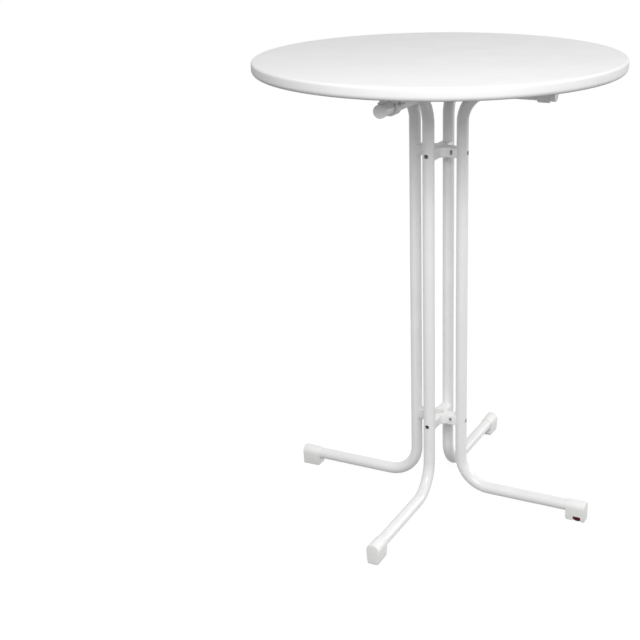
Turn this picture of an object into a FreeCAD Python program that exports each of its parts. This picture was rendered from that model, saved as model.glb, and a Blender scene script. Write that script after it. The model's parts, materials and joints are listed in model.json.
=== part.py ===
import FreeCAD, Part
import math
import os
import Sketcher

# High cocktail table: a moulded round plate on four bent steel tubes, which two plastic
# crosses hold apart, with a plastic cap on each foot and a floor leveller in one of them.
# Millimetres, +Z up, origin on the floor under the middle of the plate.
# Each leg's pieces are drawn along +X and turned about Z to their own side.

SIZES = [
    ("table_height", 1100),
    ("plate_diameter", 850),
    ("plate_field_thickness", 20),
    ("plate_lip_drop", 9),
    ("plate_lip_width", 26),
    ("plate_top_round", 6),
    ("plate_rim_round", 11),
    ("plate_lip_round", 3.5),
    ("tube_diameter", 28),
    ("tube_wall", 1.5),
    ("tube_fit", 0.1),
    ("upright_reach", 60),
    ("bend_radius", 75),
    ("foot_axis_height", 33),
    ("foot_tube_reach", 358),
    ("long_arm_reach", 306),
    ("short_arm_reach", 272),
    ("plug_head_thickness", 9),
    ("plug_flange_lip", 0.5),
    ("plug_edge_round", 2),
    ("plug_spigot_length", 14),
    ("upper_cross_drop", 146.5),
    ("lower_cross_rise", 172),
    ("cross_depth", 24),
    ("cross_arm_width", 26),
    ("cross_tip_setback", 8),
    ("cross_corner_round", 16),
    ("cross_edge_round", 1.5),
    ("cross_core_diameter", 25),
    ("bolt_diameter", 6),
    ("bolt_hole_clearance", 0.2),
    ("bolt_head_diameter", 9.5),
    ("bolt_head_height", 3.6),
    ("bolt_head_clearance", 0.1),
    ("bolt_thread_clearance", 0.1),
    ("bolt_length", 18.5),
    ("bolt_tip_room", 1.5),
    ("access_hole_clearance", 0.45),
    ("nut_setback", 24),
    ("nut_width", 10),
    ("nut_thickness", 6),
    ("nut_pocket_clearance", 0.5),
    ("clamp_height", 52.5),
    ("clamp_setback", 19),
    ("clamp_length", 26),
    ("clamp_edge", 1),
    ("clamp_corner_round", 5),
    ("clamp_rise", 9),
    ("clamp_split", 0.6),
    ("strap_thickness", 4),
    ("strap_flange_thickness", 5),
    ("saddle_wall", 5),
    ("saddle_flange_thickness", 6),
    ("saddle_rib_thickness", 4),
    ("saddle_boss_wall", 2.5),
    ("clamp_screw_diameter", 5),
    ("clamp_screw_clearance", 0.1),
    ("clamp_screw_head_diameter", 9),
    ("clamp_screw_head_height", 3),
    ("clamp_screw_head_clearance", 0.4),
    ("clamp_screw_bite", 13),
    ("cap_overhang", 27),
    ("cap_socket_depth", 21),
    ("cap_wall", 2.5),
    ("cap_crown", 3),
    ("cap_draft", 1.25),
    ("cap_side_lean", 5),
    ("cap_end_round", 3),
    ("cap_sole_round", 1.5),
    ("cap_heel_bevel", 4),
    ("leveller_beyond_tube", 8),
    ("level_pad_lift", 0.5),
    ("level_pad_diameter", 24),
    ("level_pad_thickness", 3),
    ("level_pad_round", 0.8),
    ("level_pin_diameter", 5),
    ("level_pin_length", 4),
    ("level_running_gap", 0.2),
    ("level_running_fit", 0.1),
    ("level_wheel_diameter", 31.5),
    ("level_wheel_thickness", 8),
    ("level_wheel_room", 1),
    ("level_grip_diameter", 4),
    ("level_grip_count", 20),
    ("level_stud_diameter", 7.8),
    ("level_stud_length", 30),
    ("level_stud_seat", 3),
    ("level_stud_fit", 0.05),
    ("level_stud_bevel", 1),
]

doc = FreeCAD.newDocument("HighCocktailTable")
sheet = doc.addObject("Spreadsheet::Sheet", "Sizes")
for row, (alias, size) in enumerate(SIZES, start=1):
    sheet.set(f"A{row}", alias)
    sheet.set(f"B{row}", str(size))
    sheet.setAlias(f"B{row}", alias)
doc.recompute()

# Heights and radii that several pieces share, worked out from the sheet

FIELD_UNDERSIDE = "(Sizes.table_height - Sizes.plate_field_thickness)"
RIM_BOTTOM = f"({FIELD_UNDERSIDE} - Sizes.plate_lip_drop)"
ARM_AXIS = f"({FIELD_UNDERSIDE} - Sizes.clamp_height)"
FOOT_AXIS = "Sizes.foot_axis_height"
UPPER_CROSS = f"({ARM_AXIS} - Sizes.upper_cross_drop)"
LOWER_CROSS = f"({FOOT_AXIS} + Sizes.lower_cross_rise)"
TUBE_OUTSIDE = "(Sizes.tube_diameter / 2)"
TUBE_INSIDE = "(Sizes.tube_diameter / 2 - Sizes.tube_wall)"
TUBE_SEAT = f"({TUBE_OUTSIDE} + Sizes.tube_fit)"
CLAMP_REACH = "(Sizes.short_arm_reach - Sizes.clamp_setback)"
CLAMP_START = f"({CLAMP_REACH} - Sizes.clamp_length / 2)"
STRAP_OUTSIDE = f"({TUBE_SEAT} + Sizes.strap_thickness)"
SCREW_HEAD_RADIUS = "Sizes.clamp_screw_head_diameter / 2"
SCREW_HOLE_RADIUS = "Sizes.clamp_screw_diameter / 2 + Sizes.clamp_screw_clearance"
SCREW_ACROSS = f"({STRAP_OUTSIDE} + {SCREW_HEAD_RADIUS} + Sizes.clamp_screw_head_clearance)"
CLAMP_HALF_WIDTH = f"({SCREW_ACROSS} + {SCREW_HEAD_RADIUS} + Sizes.clamp_edge)"
CLAMP_PARTING = f"({ARM_AXIS} + Sizes.clamp_rise)"
SADDLE_FOOT = f"({CLAMP_PARTING} + Sizes.clamp_split / 2)"
STRAP_TOP = f"({CLAMP_PARTING} - Sizes.clamp_split / 2)"
STRAP_FLANGE_BOTTOM = f"({STRAP_TOP} - Sizes.strap_flange_thickness)"
CAP_NECK = "(Sizes.foot_tube_reach - Sizes.cap_socket_depth)"
CAP_END = "(Sizes.foot_tube_reach + Sizes.cap_overhang)"
CAP_LENGTH = "(Sizes.cap_socket_depth + Sizes.cap_overhang)"
CAP_WIDTH = "(Sizes.tube_diameter + 2 * Sizes.cap_wall)"
CAP_HEIGHT = f"({FOOT_AXIS} + {TUBE_OUTSIDE} + Sizes.cap_crown)"
HEAD_IN_TUBE = f"sqrt({TUBE_INSIDE} ^ 2 - (Sizes.bolt_head_diameter / 2) ^ 2)"
BOLT_HEAD_SEAT = f"(Sizes.upright_reach - {HEAD_IN_TUBE} + Sizes.bolt_head_clearance)"
BOLT_TIP = f"({BOLT_HEAD_SEAT} - Sizes.bolt_length)"
NUT_REACH = "(Sizes.upright_reach - Sizes.nut_setback)"
ACCESS_HOLE_RADIUS = "Sizes.bolt_head_diameter / 2 + Sizes.access_hole_clearance"
LEVELLER_REACH = "(Sizes.foot_tube_reach + Sizes.leveller_beyond_tube)"
WHEEL_BOTTOM = "(Sizes.level_pad_lift + Sizes.level_pad_thickness + Sizes.level_running_gap)"
WHEEL_TOP = f"({WHEEL_BOTTOM} + Sizes.level_wheel_thickness)"
STUD_BOTTOM = f"({WHEEL_TOP} - Sizes.level_stud_seat)"

SIDES = {"right": 0, "back": 90, "left": 180, "front": 270}
LONG_ARMS = ("back", "front")
NUT_FLATS = 6
UP = FreeCAD.Vector(0, 0, 1)
ALONG_X = FreeCAD.Rotation(FreeCAD.Vector(0, 1, 0), 90)

parts = []


def number(formula):
    """The value in millimetres of a formula on the sheet."""
    return float(sheet.evalExpression(formula))


def turned(side):
    """The turn about the table's middle that brings a +X piece to its own side."""
    return FreeCAD.Placement(FreeCAD.Vector(), FreeCAD.Rotation(UP, SIDES[side]))


def new_body(label):
    """An empty body that will be written as the part of that label."""
    body = doc.addObject("PartDesign::Body", label)
    body.Label = label
    parts.append(body)
    return body


def origin_feature(body, role):
    """One of the body's own base planes or axes."""
    return next(feature for feature in body.Origin.OriginFeatures if feature.Role == role)


def new_sketch(body, plane, name, offset="0"):
    """A sketch on a base plane of the body, moved along the plane's normal by a formula."""
    sketch = body.newObject("Sketcher::SketchObject", f"{body.Name}_{name}")
    sketch.AttachmentSupport = [(origin_feature(body, plane), "")]
    sketch.MapMode = "FlatFace"
    if offset != "0":
        sketch.setExpression("AttachmentOffset.Base.z", offset)
    return sketch


def constrain(sketch, formula, kind, *points):
    """One driving dimension of a sketch, bound to a formula."""
    index = sketch.addConstraint(Sketcher.Constraint(kind, *points, number(formula)))
    sketch.setExpression(f"Constraints[{index}]", formula)


def place_point(sketch, axis, formula, curve, end):
    """Holds one coordinate of a curve's point, on the other axis line where it is zero."""
    if formula == "0":
        line = -2 if axis == "x" else -1
        sketch.addConstraint(Sketcher.Constraint("PointOnObject", curve, end, line))
        return
    constrain(sketch, formula, "DistanceX" if axis == "x" else "DistanceY", -1, 1, curve, end)


def draw_block(sketch, half_width, bottom, top):
    """A rectangle that stands evenly to both sides of the sketch's upright axis."""
    draw_outline(sketch, [("y", bottom), ("x", half_width), ("y", top), ("x", f"-{half_width}")])


def draw_circle(sketch, x, y, radius):
    """A circle at a formula's place with a formula's radius."""
    centre = FreeCAD.Vector(number(x), number(y), 0)
    curve = sketch.addGeometry(Part.Circle(centre, UP, number(radius)))
    place_point(sketch, "x", x, curve, 3)
    place_point(sketch, "y", y, curve, 3)
    constrain(sketch, radius, "Radius", curve)


def draw_outline(sketch, sides, rounds=None):
    """A closed outline of upright lines (x) and level lines (y), with some corners rounded.

    sides lists each line's axis and place in order. rounds gives the radius of the corner
    that follows the line of that number.
    """
    rounds = rounds or {}
    count = len(sides)
    corners = []
    for index in range(count):
        places = dict([sides[index], sides[(index + 1) % count]])
        corners.append(FreeCAD.Vector(number(places["x"]), number(places["y"]), 0))
    lines = []
    for index, (axis, formula) in enumerate(sides):
        run = corners[index] - corners[index - 1]
        heading = FreeCAD.Vector(run).normalize()
        start = corners[index - 1] + heading * number(rounds.get((index - 1) % count, "0"))
        end = corners[index] - heading * number(rounds.get(index, "0"))
        line = sketch.addGeometry(Part.LineSegment(start, end))
        sketch.addConstraint(Sketcher.Constraint("Vertical" if axis == "x" else "Horizontal", line))
        place_point(sketch, axis, formula, line, 1)
        lines.append((line, start, end, heading))
    for index, (line, _, end, heading) in enumerate(lines):
        following, start, _, next_heading = lines[(index + 1) % count]
        if index not in rounds:
            sketch.addConstraint(Sketcher.Constraint("Coincident", line, 2, following, 1))
            continue
        middle = end + next_heading * number(rounds[index])
        bulge = corners[index] - middle
        halfway = middle + bulge.normalize() * number(rounds[index])
        arc = sketch.addGeometry(Part.Arc(end, halfway, start))
        turns_left = heading.cross(next_heading).z > 0
        first, last = (1, 2) if turns_left else (2, 1)
        sketch.addConstraint(Sketcher.Constraint("Tangent", line, 2, arc, first))
        sketch.addConstraint(Sketcher.Constraint("Tangent", arc, last, following, 1))
        constrain(sketch, rounds[index], "Radius", arc)


def feature_from(body, kind, sketch, name, length=None, reversed_way=False, symmetric=False):
    """A pad or pocket of a sketch; a pocket that removes nothing is caught by its volume."""
    before = body.Shape.Volume if body.Tip else 0.0
    feature = body.newObject(f"PartDesign::{kind}", f"{body.Name}_{name}")
    feature.Profile = sketch
    feature.Reversed = reversed_way
    if symmetric:
        feature.SideType = "Symmetric"
    feature.setExpression("Length", length)
    doc.recompute()
    if abs(feature.Shape.Volume - before) < 1e-6:
        raise RuntimeError(f"{feature.Name} changes nothing")
    return feature


def dress_edges(body, kind, name, size, wanted):
    """A fillet or chamfer on the edges of the body that the test picks out."""
    base = body.Tip
    edges = [f"Edge{index}" for index, edge in enumerate(base.Shape.Edges, start=1) if wanted(edge)]
    if not edges:
        raise RuntimeError(f"{body.Name} has no edge for {name}")
    feature = body.newObject(f"PartDesign::{kind}", f"{body.Name}_{name}")
    feature.Base = (base, edges)
    feature.setExpression("Radius" if kind == "Fillet" else "Size", size)
    doc.recompute()
    return feature


def repeat_around(body, original, name, count):
    """Copies of a feature evenly spaced about the body's upright axis."""
    pattern = body.newObject("PartDesign::PolarPattern", f"{body.Name}_{name}")
    pattern.Originals = [original]
    pattern.Axis = (origin_feature(body, "Z_Axis"), [""])
    pattern.Angle = 360
    pattern.setExpression("Occurrences", count)
    body.Tip = pattern
    doc.recompute()
    return pattern


def lies_at(edge, axis, formula):
    """True where the whole edge lies in one plane across the axis."""
    box = edge.BoundBox
    low, high = (box.XMin, box.XMax) if axis == "x" else (box.ZMin, box.ZMax)
    place = number(formula)
    return abs(low - place) < 1e-4 and abs(high - place) < 1e-4


# Plate: one moulding, turned from its half section

def make_table_top():
    body = new_body("table_top")
    section = new_sketch(body, "XZ_Plane", "section")
    rim = "(Sizes.plate_diameter / 2)"
    sides = [
        ("y", FIELD_UNDERSIDE),
        ("x", f"({rim} - Sizes.plate_lip_width)"),
        ("y", RIM_BOTTOM),
        ("x", rim),
        ("y", "Sizes.table_height"),
        ("x", "0"),
    ]
    rounds = {
        0: "Sizes.plate_lip_round",
        1: "Sizes.plate_lip_round",
        2: "Sizes.plate_rim_round",
        3: "Sizes.plate_top_round",
    }
    draw_outline(section, sides, rounds)
    turning = body.newObject("PartDesign::Revolution", "table_top_turning")
    turning.Profile = section
    turning.ReferenceAxis = (section, ["V_Axis"])
    turning.Angle = 360
    doc.recompute()

    pilots = new_sketch(body, "XY_Plane", "pilot_holes", FIELD_UNDERSIDE)
    draw_circle(pilots, CLAMP_REACH, SCREW_ACROSS, SCREW_HOLE_RADIUS)
    draw_circle(pilots, CLAMP_REACH, f"-{SCREW_ACROSS}", SCREW_HOLE_RADIUS)
    drilling = feature_from(body, "Pocket", pilots, "drilling", "Sizes.clamp_screw_bite", reversed_way=True)
    repeat_around(body, drilling, "drilling_all_sides", str(len(SIDES)))


# Leg tubes: one steel tube each, bent twice in one plane

def make_leg_tube(side):
    body = new_body(f"leg_tube_{side}")
    arm_reach = "Sizes.long_arm_reach" if side in LONG_ARMS else "Sizes.short_arm_reach"
    route = new_sketch(body, "XZ_Plane", "route")
    bend_end = "(Sizes.upright_reach + Sizes.bend_radius)"
    low_bend = f"({FOOT_AXIS} + Sizes.bend_radius)"
    high_bend = f"({ARM_AXIS} - Sizes.bend_radius)"
    foot_end = FreeCAD.Vector(number("Sizes.foot_tube_reach"), number(FOOT_AXIS), 0)
    foot_start = FreeCAD.Vector(number(bend_end), number(FOOT_AXIS), 0)
    upright_low = FreeCAD.Vector(number("Sizes.upright_reach"), number(low_bend), 0)
    upright_high = FreeCAD.Vector(number("Sizes.upright_reach"), number(high_bend), 0)
    arm_start = FreeCAD.Vector(number(bend_end), number(ARM_AXIS), 0)
    arm_end = FreeCAD.Vector(number(arm_reach), number(ARM_AXIS), 0)
    radius = number("Sizes.bend_radius")
    low_centre = FreeCAD.Vector(number(bend_end), number(low_bend), 0)
    high_centre = FreeCAD.Vector(number(bend_end), number(high_bend), 0)
    low_middle = low_centre + FreeCAD.Vector(-1, -1, 0).normalize() * radius
    high_middle = high_centre + FreeCAD.Vector(-1, 1, 0).normalize() * radius
    foot = route.addGeometry(Part.LineSegment(foot_end, foot_start))
    low = route.addGeometry(Part.Arc(foot_start, low_middle, upright_low))
    upright = route.addGeometry(Part.LineSegment(upright_low, upright_high))
    high = route.addGeometry(Part.Arc(upright_high, high_middle, arm_start))
    arm = route.addGeometry(Part.LineSegment(arm_start, arm_end))
    route.addConstraint(Sketcher.Constraint("Horizontal", foot))
    route.addConstraint(Sketcher.Constraint("Vertical", upright))
    route.addConstraint(Sketcher.Constraint("Horizontal", arm))
    route.addConstraint(Sketcher.Constraint("Tangent", foot, 2, low, 2))
    route.addConstraint(Sketcher.Constraint("Tangent", low, 1, upright, 1))
    route.addConstraint(Sketcher.Constraint("Tangent", upright, 2, high, 2))
    route.addConstraint(Sketcher.Constraint("Tangent", high, 1, arm, 1))
    constrain(route, "Sizes.bend_radius", "Radius", low)
    constrain(route, "Sizes.bend_radius", "Radius", high)
    place_point(route, "x", "Sizes.foot_tube_reach", foot, 1)
    place_point(route, "y", FOOT_AXIS, foot, 1)
    place_point(route, "x", "Sizes.upright_reach", upright, 1)
    place_point(route, "x", arm_reach, arm, 2)
    place_point(route, "y", ARM_AXIS, arm, 2)

    ring = new_sketch(body, "YZ_Plane", "ring", "Sizes.foot_tube_reach")
    draw_circle(ring, "0", FOOT_AXIS, TUBE_OUTSIDE)
    draw_circle(ring, "0", FOOT_AXIS, TUBE_INSIDE)
    doc.recompute()
    pipe = body.newObject("PartDesign::AdditivePipe", f"{body.Name}_pipe")
    pipe.Profile = ring
    pipe.Spine = route
    doc.recompute()

    access = new_sketch(body, "YZ_Plane", "access_holes", "Sizes.upright_reach")
    draw_circle(access, "0", UPPER_CROSS, ACCESS_HOLE_RADIUS)
    draw_circle(access, "0", LOWER_CROSS, ACCESS_HOLE_RADIUS)
    feature_from(body, "Pocket", access, "access_drilling", "Sizes.tube_diameter", reversed_way=True)
    bolt_hole = "Sizes.bolt_diameter / 2 + Sizes.bolt_hole_clearance"
    inner = new_sketch(body, "YZ_Plane", "bolt_holes", "Sizes.upright_reach")
    draw_circle(inner, "0", UPPER_CROSS, bolt_hole)
    draw_circle(inner, "0", LOWER_CROSS, bolt_hole)
    feature_from(body, "Pocket", inner, "bolt_drilling", "Sizes.tube_diameter")
    body.Placement = turned(side)


# Crosses: one-piece mouldings with a saddle for a tube at each of four tips

def make_cross(label, height):
    body = new_body(label)
    half = "(Sizes.cross_arm_width / 2)"
    tip = "(Sizes.upright_reach - Sizes.cross_tip_setback)"
    sides = [
        ("y", f"-{half}"), ("x", tip), ("y", half),
        ("x", half), ("y", tip), ("x", f"-{half}"),
        ("y", half), ("x", f"-{tip}"), ("y", f"-{half}"),
        ("x", f"-{half}"), ("y", f"-{tip}"), ("x", half),
    ]
    inner_corners = (2, 5, 8, 11)
    star = new_sketch(body, "XY_Plane", "star")
    draw_outline(star, sides, {corner: "Sizes.cross_corner_round" for corner in inner_corners})
    feature_from(body, "Pad", star, "block", "Sizes.cross_depth", symmetric=True)
    top = "Sizes.cross_depth / 2"
    dress_edges(
        body, "Fillet", "edges", "Sizes.cross_edge_round",
        lambda edge: lies_at(edge, "z", top) or lies_at(edge, "z", f"-{top}"),
    )
    core = new_sketch(body, "XY_Plane", "core")
    draw_circle(core, "0", "0", "Sizes.cross_core_diameter / 2")
    feature_from(body, "Pocket", core, "core_opening", "2 * Sizes.cross_depth", symmetric=True)
    saddle = new_sketch(body, "XY_Plane", "saddle")
    draw_circle(saddle, "Sizes.upright_reach", "0", TUBE_SEAT)
    cut = feature_from(body, "Pocket", saddle, "saddle_cut", "2 * Sizes.cross_depth", symmetric=True)
    repeat_around(body, cut, "saddles", str(len(SIDES)))

    hole_end = f"({BOLT_TIP} - Sizes.bolt_tip_room)"
    bolt_hole = new_sketch(body, "YZ_Plane", "bolt_hole", hole_end)
    draw_circle(bolt_hole, "0", "0", "Sizes.bolt_diameter / 2 + Sizes.bolt_hole_clearance")
    drilled = feature_from(
        body, "Pocket", bolt_hole, "bolt_drilling", f"Sizes.upright_reach - {hole_end}", reversed_way=True
    )
    repeat_around(body, drilled, "bolt_holes", str(len(SIDES)))

    room = "Sizes.nut_pocket_clearance"
    nut_corner = f"(Sizes.nut_width / sqrt(3) + {room})"
    window = new_sketch(body, "XZ_Plane", "nut_window", f"-{nut_corner}")
    nut_sides = [
        ("y", f"-(Sizes.nut_width / 2 + {room})"),
        ("x", f"({NUT_REACH} + Sizes.nut_thickness / 2 + {room})"),
        ("y", f"(Sizes.nut_width / 2 + {room})"),
        ("x", f"({NUT_REACH} - Sizes.nut_thickness / 2 - {room})"),
    ]
    draw_outline(window, nut_sides)
    pocket = feature_from(
        body, "Pocket", window, "nut_slot", f"Sizes.cross_arm_width / 2 + {nut_corner}", reversed_way=True
    )
    repeat_around(body, pocket, "nut_slots", str(len(SIDES)))
    body.setExpression("Placement.Base.z", height)


# Fasteners of the crosses: a group of four in one part, one on each side

def along_x_cylinder(name, radius, start, length, height):
    """A cylinder lying along +X from a given reach, at a given height."""
    cylinder = doc.addObject("Part::Cylinder", name)
    cylinder.Placement = FreeCAD.Placement(FreeCAD.Vector(), ALONG_X)
    cylinder.setExpression("Radius", radius)
    cylinder.setExpression("Height", length)
    cylinder.setExpression("Placement.Base.x", start)
    cylinder.setExpression("Placement.Base.z", height)
    return cylinder


def joined(kind, name, base, tool):
    """The union or difference of two objects."""
    result = doc.addObject(f"Part::{kind}", name)
    result.Base = base
    result.Tool = tool
    return result


def group_of(label, members):
    """Several equal solids written as one part."""
    group = doc.addObject("Part::Compound", label)
    group.Label = label
    group.Links = members
    parts.append(group)


def make_cross_bolts(label, height):
    members = []
    for side in SIDES:
        name = f"{label}_{side}"
        radius = "Sizes.bolt_diameter / 2"
        shank = along_x_cylinder(f"{name}_shank", radius, BOLT_TIP, "Sizes.bolt_length", height)
        head_radius = "Sizes.bolt_head_diameter / 2"
        head = along_x_cylinder(f"{name}_head", head_radius, BOLT_HEAD_SEAT, "Sizes.bolt_head_height", height)
        bolt = joined("Fuse", name, head, shank)
        bolt.Placement = turned(side)
        members.append(bolt)
    group_of(label, members)


def make_cross_nuts(label, height):
    members = []
    for side in SIDES:
        name = f"{label}_{side}"
        start = f"{NUT_REACH} - Sizes.nut_thickness / 2"
        blank = doc.addObject("Part::Prism", f"{name}_blank")
        blank.Polygon = NUT_FLATS
        level_flats = FreeCAD.Rotation(FreeCAD.Vector(1, 0, 0), 180 / NUT_FLATS)
        blank.Placement = FreeCAD.Placement(FreeCAD.Vector(), level_flats * ALONG_X)
        blank.setExpression("Circumradius", "Sizes.nut_width / sqrt(3)")
        blank.setExpression("Height", "Sizes.nut_thickness")
        blank.setExpression("Placement.Base.x", start)
        blank.setExpression("Placement.Base.z", height)
        thread_radius = "Sizes.bolt_diameter / 2 + Sizes.bolt_thread_clearance"
        bore = along_x_cylinder(f"{name}_bore", thread_radius, start, "Sizes.nut_thickness", height)
        nut = joined("Cut", name, blank, bore)
        nut.Placement = turned(side)
        members.append(nut)
    group_of(label, members)


# Tube clamps: a saddle under the plate and a strap under the arm, drawn together by two screws

def clamp_screw_holes(body, level, length, reversed_way):
    """Two upright screw holes through a clamp half."""
    holes = new_sketch(body, "XY_Plane", "screw_holes", level)
    draw_circle(holes, CLAMP_REACH, SCREW_ACROSS, SCREW_HOLE_RADIUS)
    draw_circle(holes, CLAMP_REACH, f"-{SCREW_ACROSS}", SCREW_HOLE_RADIUS)
    feature_from(body, "Pocket", holes, "screw_drilling", length, reversed_way=reversed_way)


def upright_corner(edge):
    """True for a straight upright edge."""
    box = edge.BoundBox
    return box.XLength < 1e-6 and box.YLength < 1e-6


def draw_bowl(sketch, radius, middle, top):
    """A U section: a half-round bottom about the given height, with upright sides to a level top."""
    reach = number(radius)
    left_spring = FreeCAD.Vector(-reach, number(middle), 0)
    right_spring = FreeCAD.Vector(reach, number(middle), 0)
    left_top = FreeCAD.Vector(-reach, number(top), 0)
    right_top = FreeCAD.Vector(reach, number(top), 0)
    lowest = FreeCAD.Vector(0, number(middle) - reach, 0)
    bottom = sketch.addGeometry(Part.Arc(left_spring, lowest, right_spring))
    right = sketch.addGeometry(Part.LineSegment(right_spring, right_top))
    level = sketch.addGeometry(Part.LineSegment(right_top, left_top))
    left = sketch.addGeometry(Part.LineSegment(left_top, left_spring))
    sketch.addConstraint(Sketcher.Constraint("Tangent", bottom, 2, right, 1))
    sketch.addConstraint(Sketcher.Constraint("Coincident", right, 2, level, 1))
    sketch.addConstraint(Sketcher.Constraint("Coincident", level, 2, left, 1))
    sketch.addConstraint(Sketcher.Constraint("Tangent", left, 2, bottom, 1))
    sketch.addConstraint(Sketcher.Constraint("Vertical", right))
    sketch.addConstraint(Sketcher.Constraint("Vertical", left))
    sketch.addConstraint(Sketcher.Constraint("Horizontal", level))
    sketch.addConstraint(Sketcher.Constraint("PointOnObject", bottom, 3, -2))
    constrain(sketch, radius, "Radius", bottom)
    place_point(sketch, "y", middle, bottom, 3)
    place_point(sketch, "y", top, level, 1)


def make_clamp_saddle(side):
    """A flange under the plate, a stem with the tube's seat, and a ribbed boss for each screw."""
    body = new_body(f"clamp_saddle_{side}")
    flange_bottom = f"({FIELD_UNDERSIDE} - Sizes.saddle_flange_thickness)"
    flange = new_sketch(body, "YZ_Plane", "flange", CLAMP_START)
    draw_block(flange, CLAMP_HALF_WIDTH, flange_bottom, FIELD_UNDERSIDE)
    feature_from(body, "Pad", flange, "flange_plate", "Sizes.clamp_length")
    dress_edges(body, "Fillet", "corners", "Sizes.clamp_corner_round", upright_corner)
    stem_half = f"({TUBE_SEAT} + Sizes.saddle_wall)"
    stem = new_sketch(body, "YZ_Plane", "stem", CLAMP_START)
    draw_block(stem, stem_half, SADDLE_FOOT, flange_bottom)
    feature_from(body, "Pad", stem, "stem_block", "Sizes.clamp_length")
    rib = new_sketch(body, "YZ_Plane", "rib", CLAMP_REACH)
    draw_block(rib, SCREW_ACROSS, SADDLE_FOOT, flange_bottom)
    feature_from(body, "Pad", rib, "rib_plate", "Sizes.saddle_rib_thickness", symmetric=True)
    bosses = new_sketch(body, "XY_Plane", "bosses", SADDLE_FOOT)
    boss_radius = f"{SCREW_HOLE_RADIUS} + Sizes.saddle_boss_wall"
    draw_circle(bosses, CLAMP_REACH, SCREW_ACROSS, boss_radius)
    draw_circle(bosses, CLAMP_REACH, f"-{SCREW_ACROSS}", boss_radius)
    feature_from(body, "Pad", bosses, "boss_columns", f"{flange_bottom} - {SADDLE_FOOT}")
    seat = new_sketch(body, "YZ_Plane", "seat", CLAMP_START)
    draw_circle(seat, "0", ARM_AXIS, TUBE_SEAT)
    feature_from(body, "Pocket", seat, "seat_cut", "Sizes.clamp_length", reversed_way=True)
    clamp_screw_holes(body, SADDLE_FOOT, "Sizes.clamp_height", True)
    body.Placement = turned(side)


def make_clamp_strap(side):
    """A U under the tube, with a screw flange at the top of each of its two cheeks."""
    body = new_body(f"clamp_strap_{side}")
    flange = new_sketch(body, "YZ_Plane", "flange", CLAMP_START)
    draw_block(flange, CLAMP_HALF_WIDTH, STRAP_FLANGE_BOTTOM, STRAP_TOP)
    feature_from(body, "Pad", flange, "flanges", "Sizes.clamp_length")
    dress_edges(body, "Fillet", "corners", "Sizes.clamp_corner_round", upright_corner)
    outside = new_sketch(body, "YZ_Plane", "outside", CLAMP_START)
    draw_bowl(outside, STRAP_OUTSIDE, ARM_AXIS, STRAP_TOP)
    feature_from(body, "Pad", outside, "bowl", "Sizes.clamp_length")
    seat = new_sketch(body, "YZ_Plane", "seat", CLAMP_START)
    draw_bowl(seat, TUBE_SEAT, ARM_AXIS, STRAP_TOP)
    feature_from(body, "Pocket", seat, "seat_cut", "Sizes.clamp_length", reversed_way=True)
    clamp_screw_holes(body, STRAP_TOP, "Sizes.strap_flange_thickness", False)
    body.Placement = turned(side)


def upright_cylinder(name, radius, x, y, bottom, length):
    """An upright cylinder on a given place."""
    cylinder = doc.addObject("Part::Cylinder", name)
    cylinder.setExpression("Radius", radius)
    cylinder.setExpression("Height", length)
    cylinder.setExpression("Placement.Base.x", x)
    cylinder.setExpression("Placement.Base.y", y)
    cylinder.setExpression("Placement.Base.z", bottom)
    return cylinder


def make_clamp_screws(label):
    members = []
    for side in SIDES:
        for hand, sign in (("a", ""), ("b", "-")):
            name = f"{label}_{side}_{hand}"
            across = f"{sign}{SCREW_ACROSS}"
            tip = f"({FIELD_UNDERSIDE} + Sizes.clamp_screw_bite)"
            shank = upright_cylinder(
                f"{name}_shank", "Sizes.clamp_screw_diameter / 2", CLAMP_REACH, across,
                STRAP_FLANGE_BOTTOM, f"{tip} - {STRAP_FLANGE_BOTTOM}",
            )
            head = upright_cylinder(
                f"{name}_head", SCREW_HEAD_RADIUS, CLAMP_REACH, across,
                f"{STRAP_FLANGE_BOTTOM} - Sizes.clamp_screw_head_height", "Sizes.clamp_screw_head_height",
            )
            screw = joined("Fuse", name, head, shank)
            screw.Placement = turned(side)
            members.append(screw)
    group_of(label, members)


# Plugs that close the open ends of the arms, each with a small lip over the tube's edge

def make_arm_plug(side):
    body = new_body(f"arm_plug_{side}")
    arm_reach = "Sizes.long_arm_reach" if side in LONG_ARMS else "Sizes.short_arm_reach"
    spigot = new_sketch(body, "YZ_Plane", "spigot", f"{arm_reach} - Sizes.plug_spigot_length")
    draw_circle(spigot, "0", ARM_AXIS, f"{TUBE_INSIDE} - Sizes.tube_fit")
    feature_from(body, "Pad", spigot, "spigot_round", "Sizes.plug_spigot_length")
    head = new_sketch(body, "YZ_Plane", "head", arm_reach)
    draw_circle(head, "0", ARM_AXIS, f"({TUBE_OUTSIDE} + Sizes.plug_flange_lip)")
    feature_from(body, "Pad", head, "head_round", "Sizes.plug_head_thickness")
    face = f"{arm_reach} + Sizes.plug_head_thickness"
    dress_edges(body, "Fillet", "rim", "Sizes.plug_edge_round", lambda edge: lies_at(edge, "x", face))
    body.Placement = turned(side)


# Foot caps: a domed moulding with draft, which widens from its neck on the tube to its flat end

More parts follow.
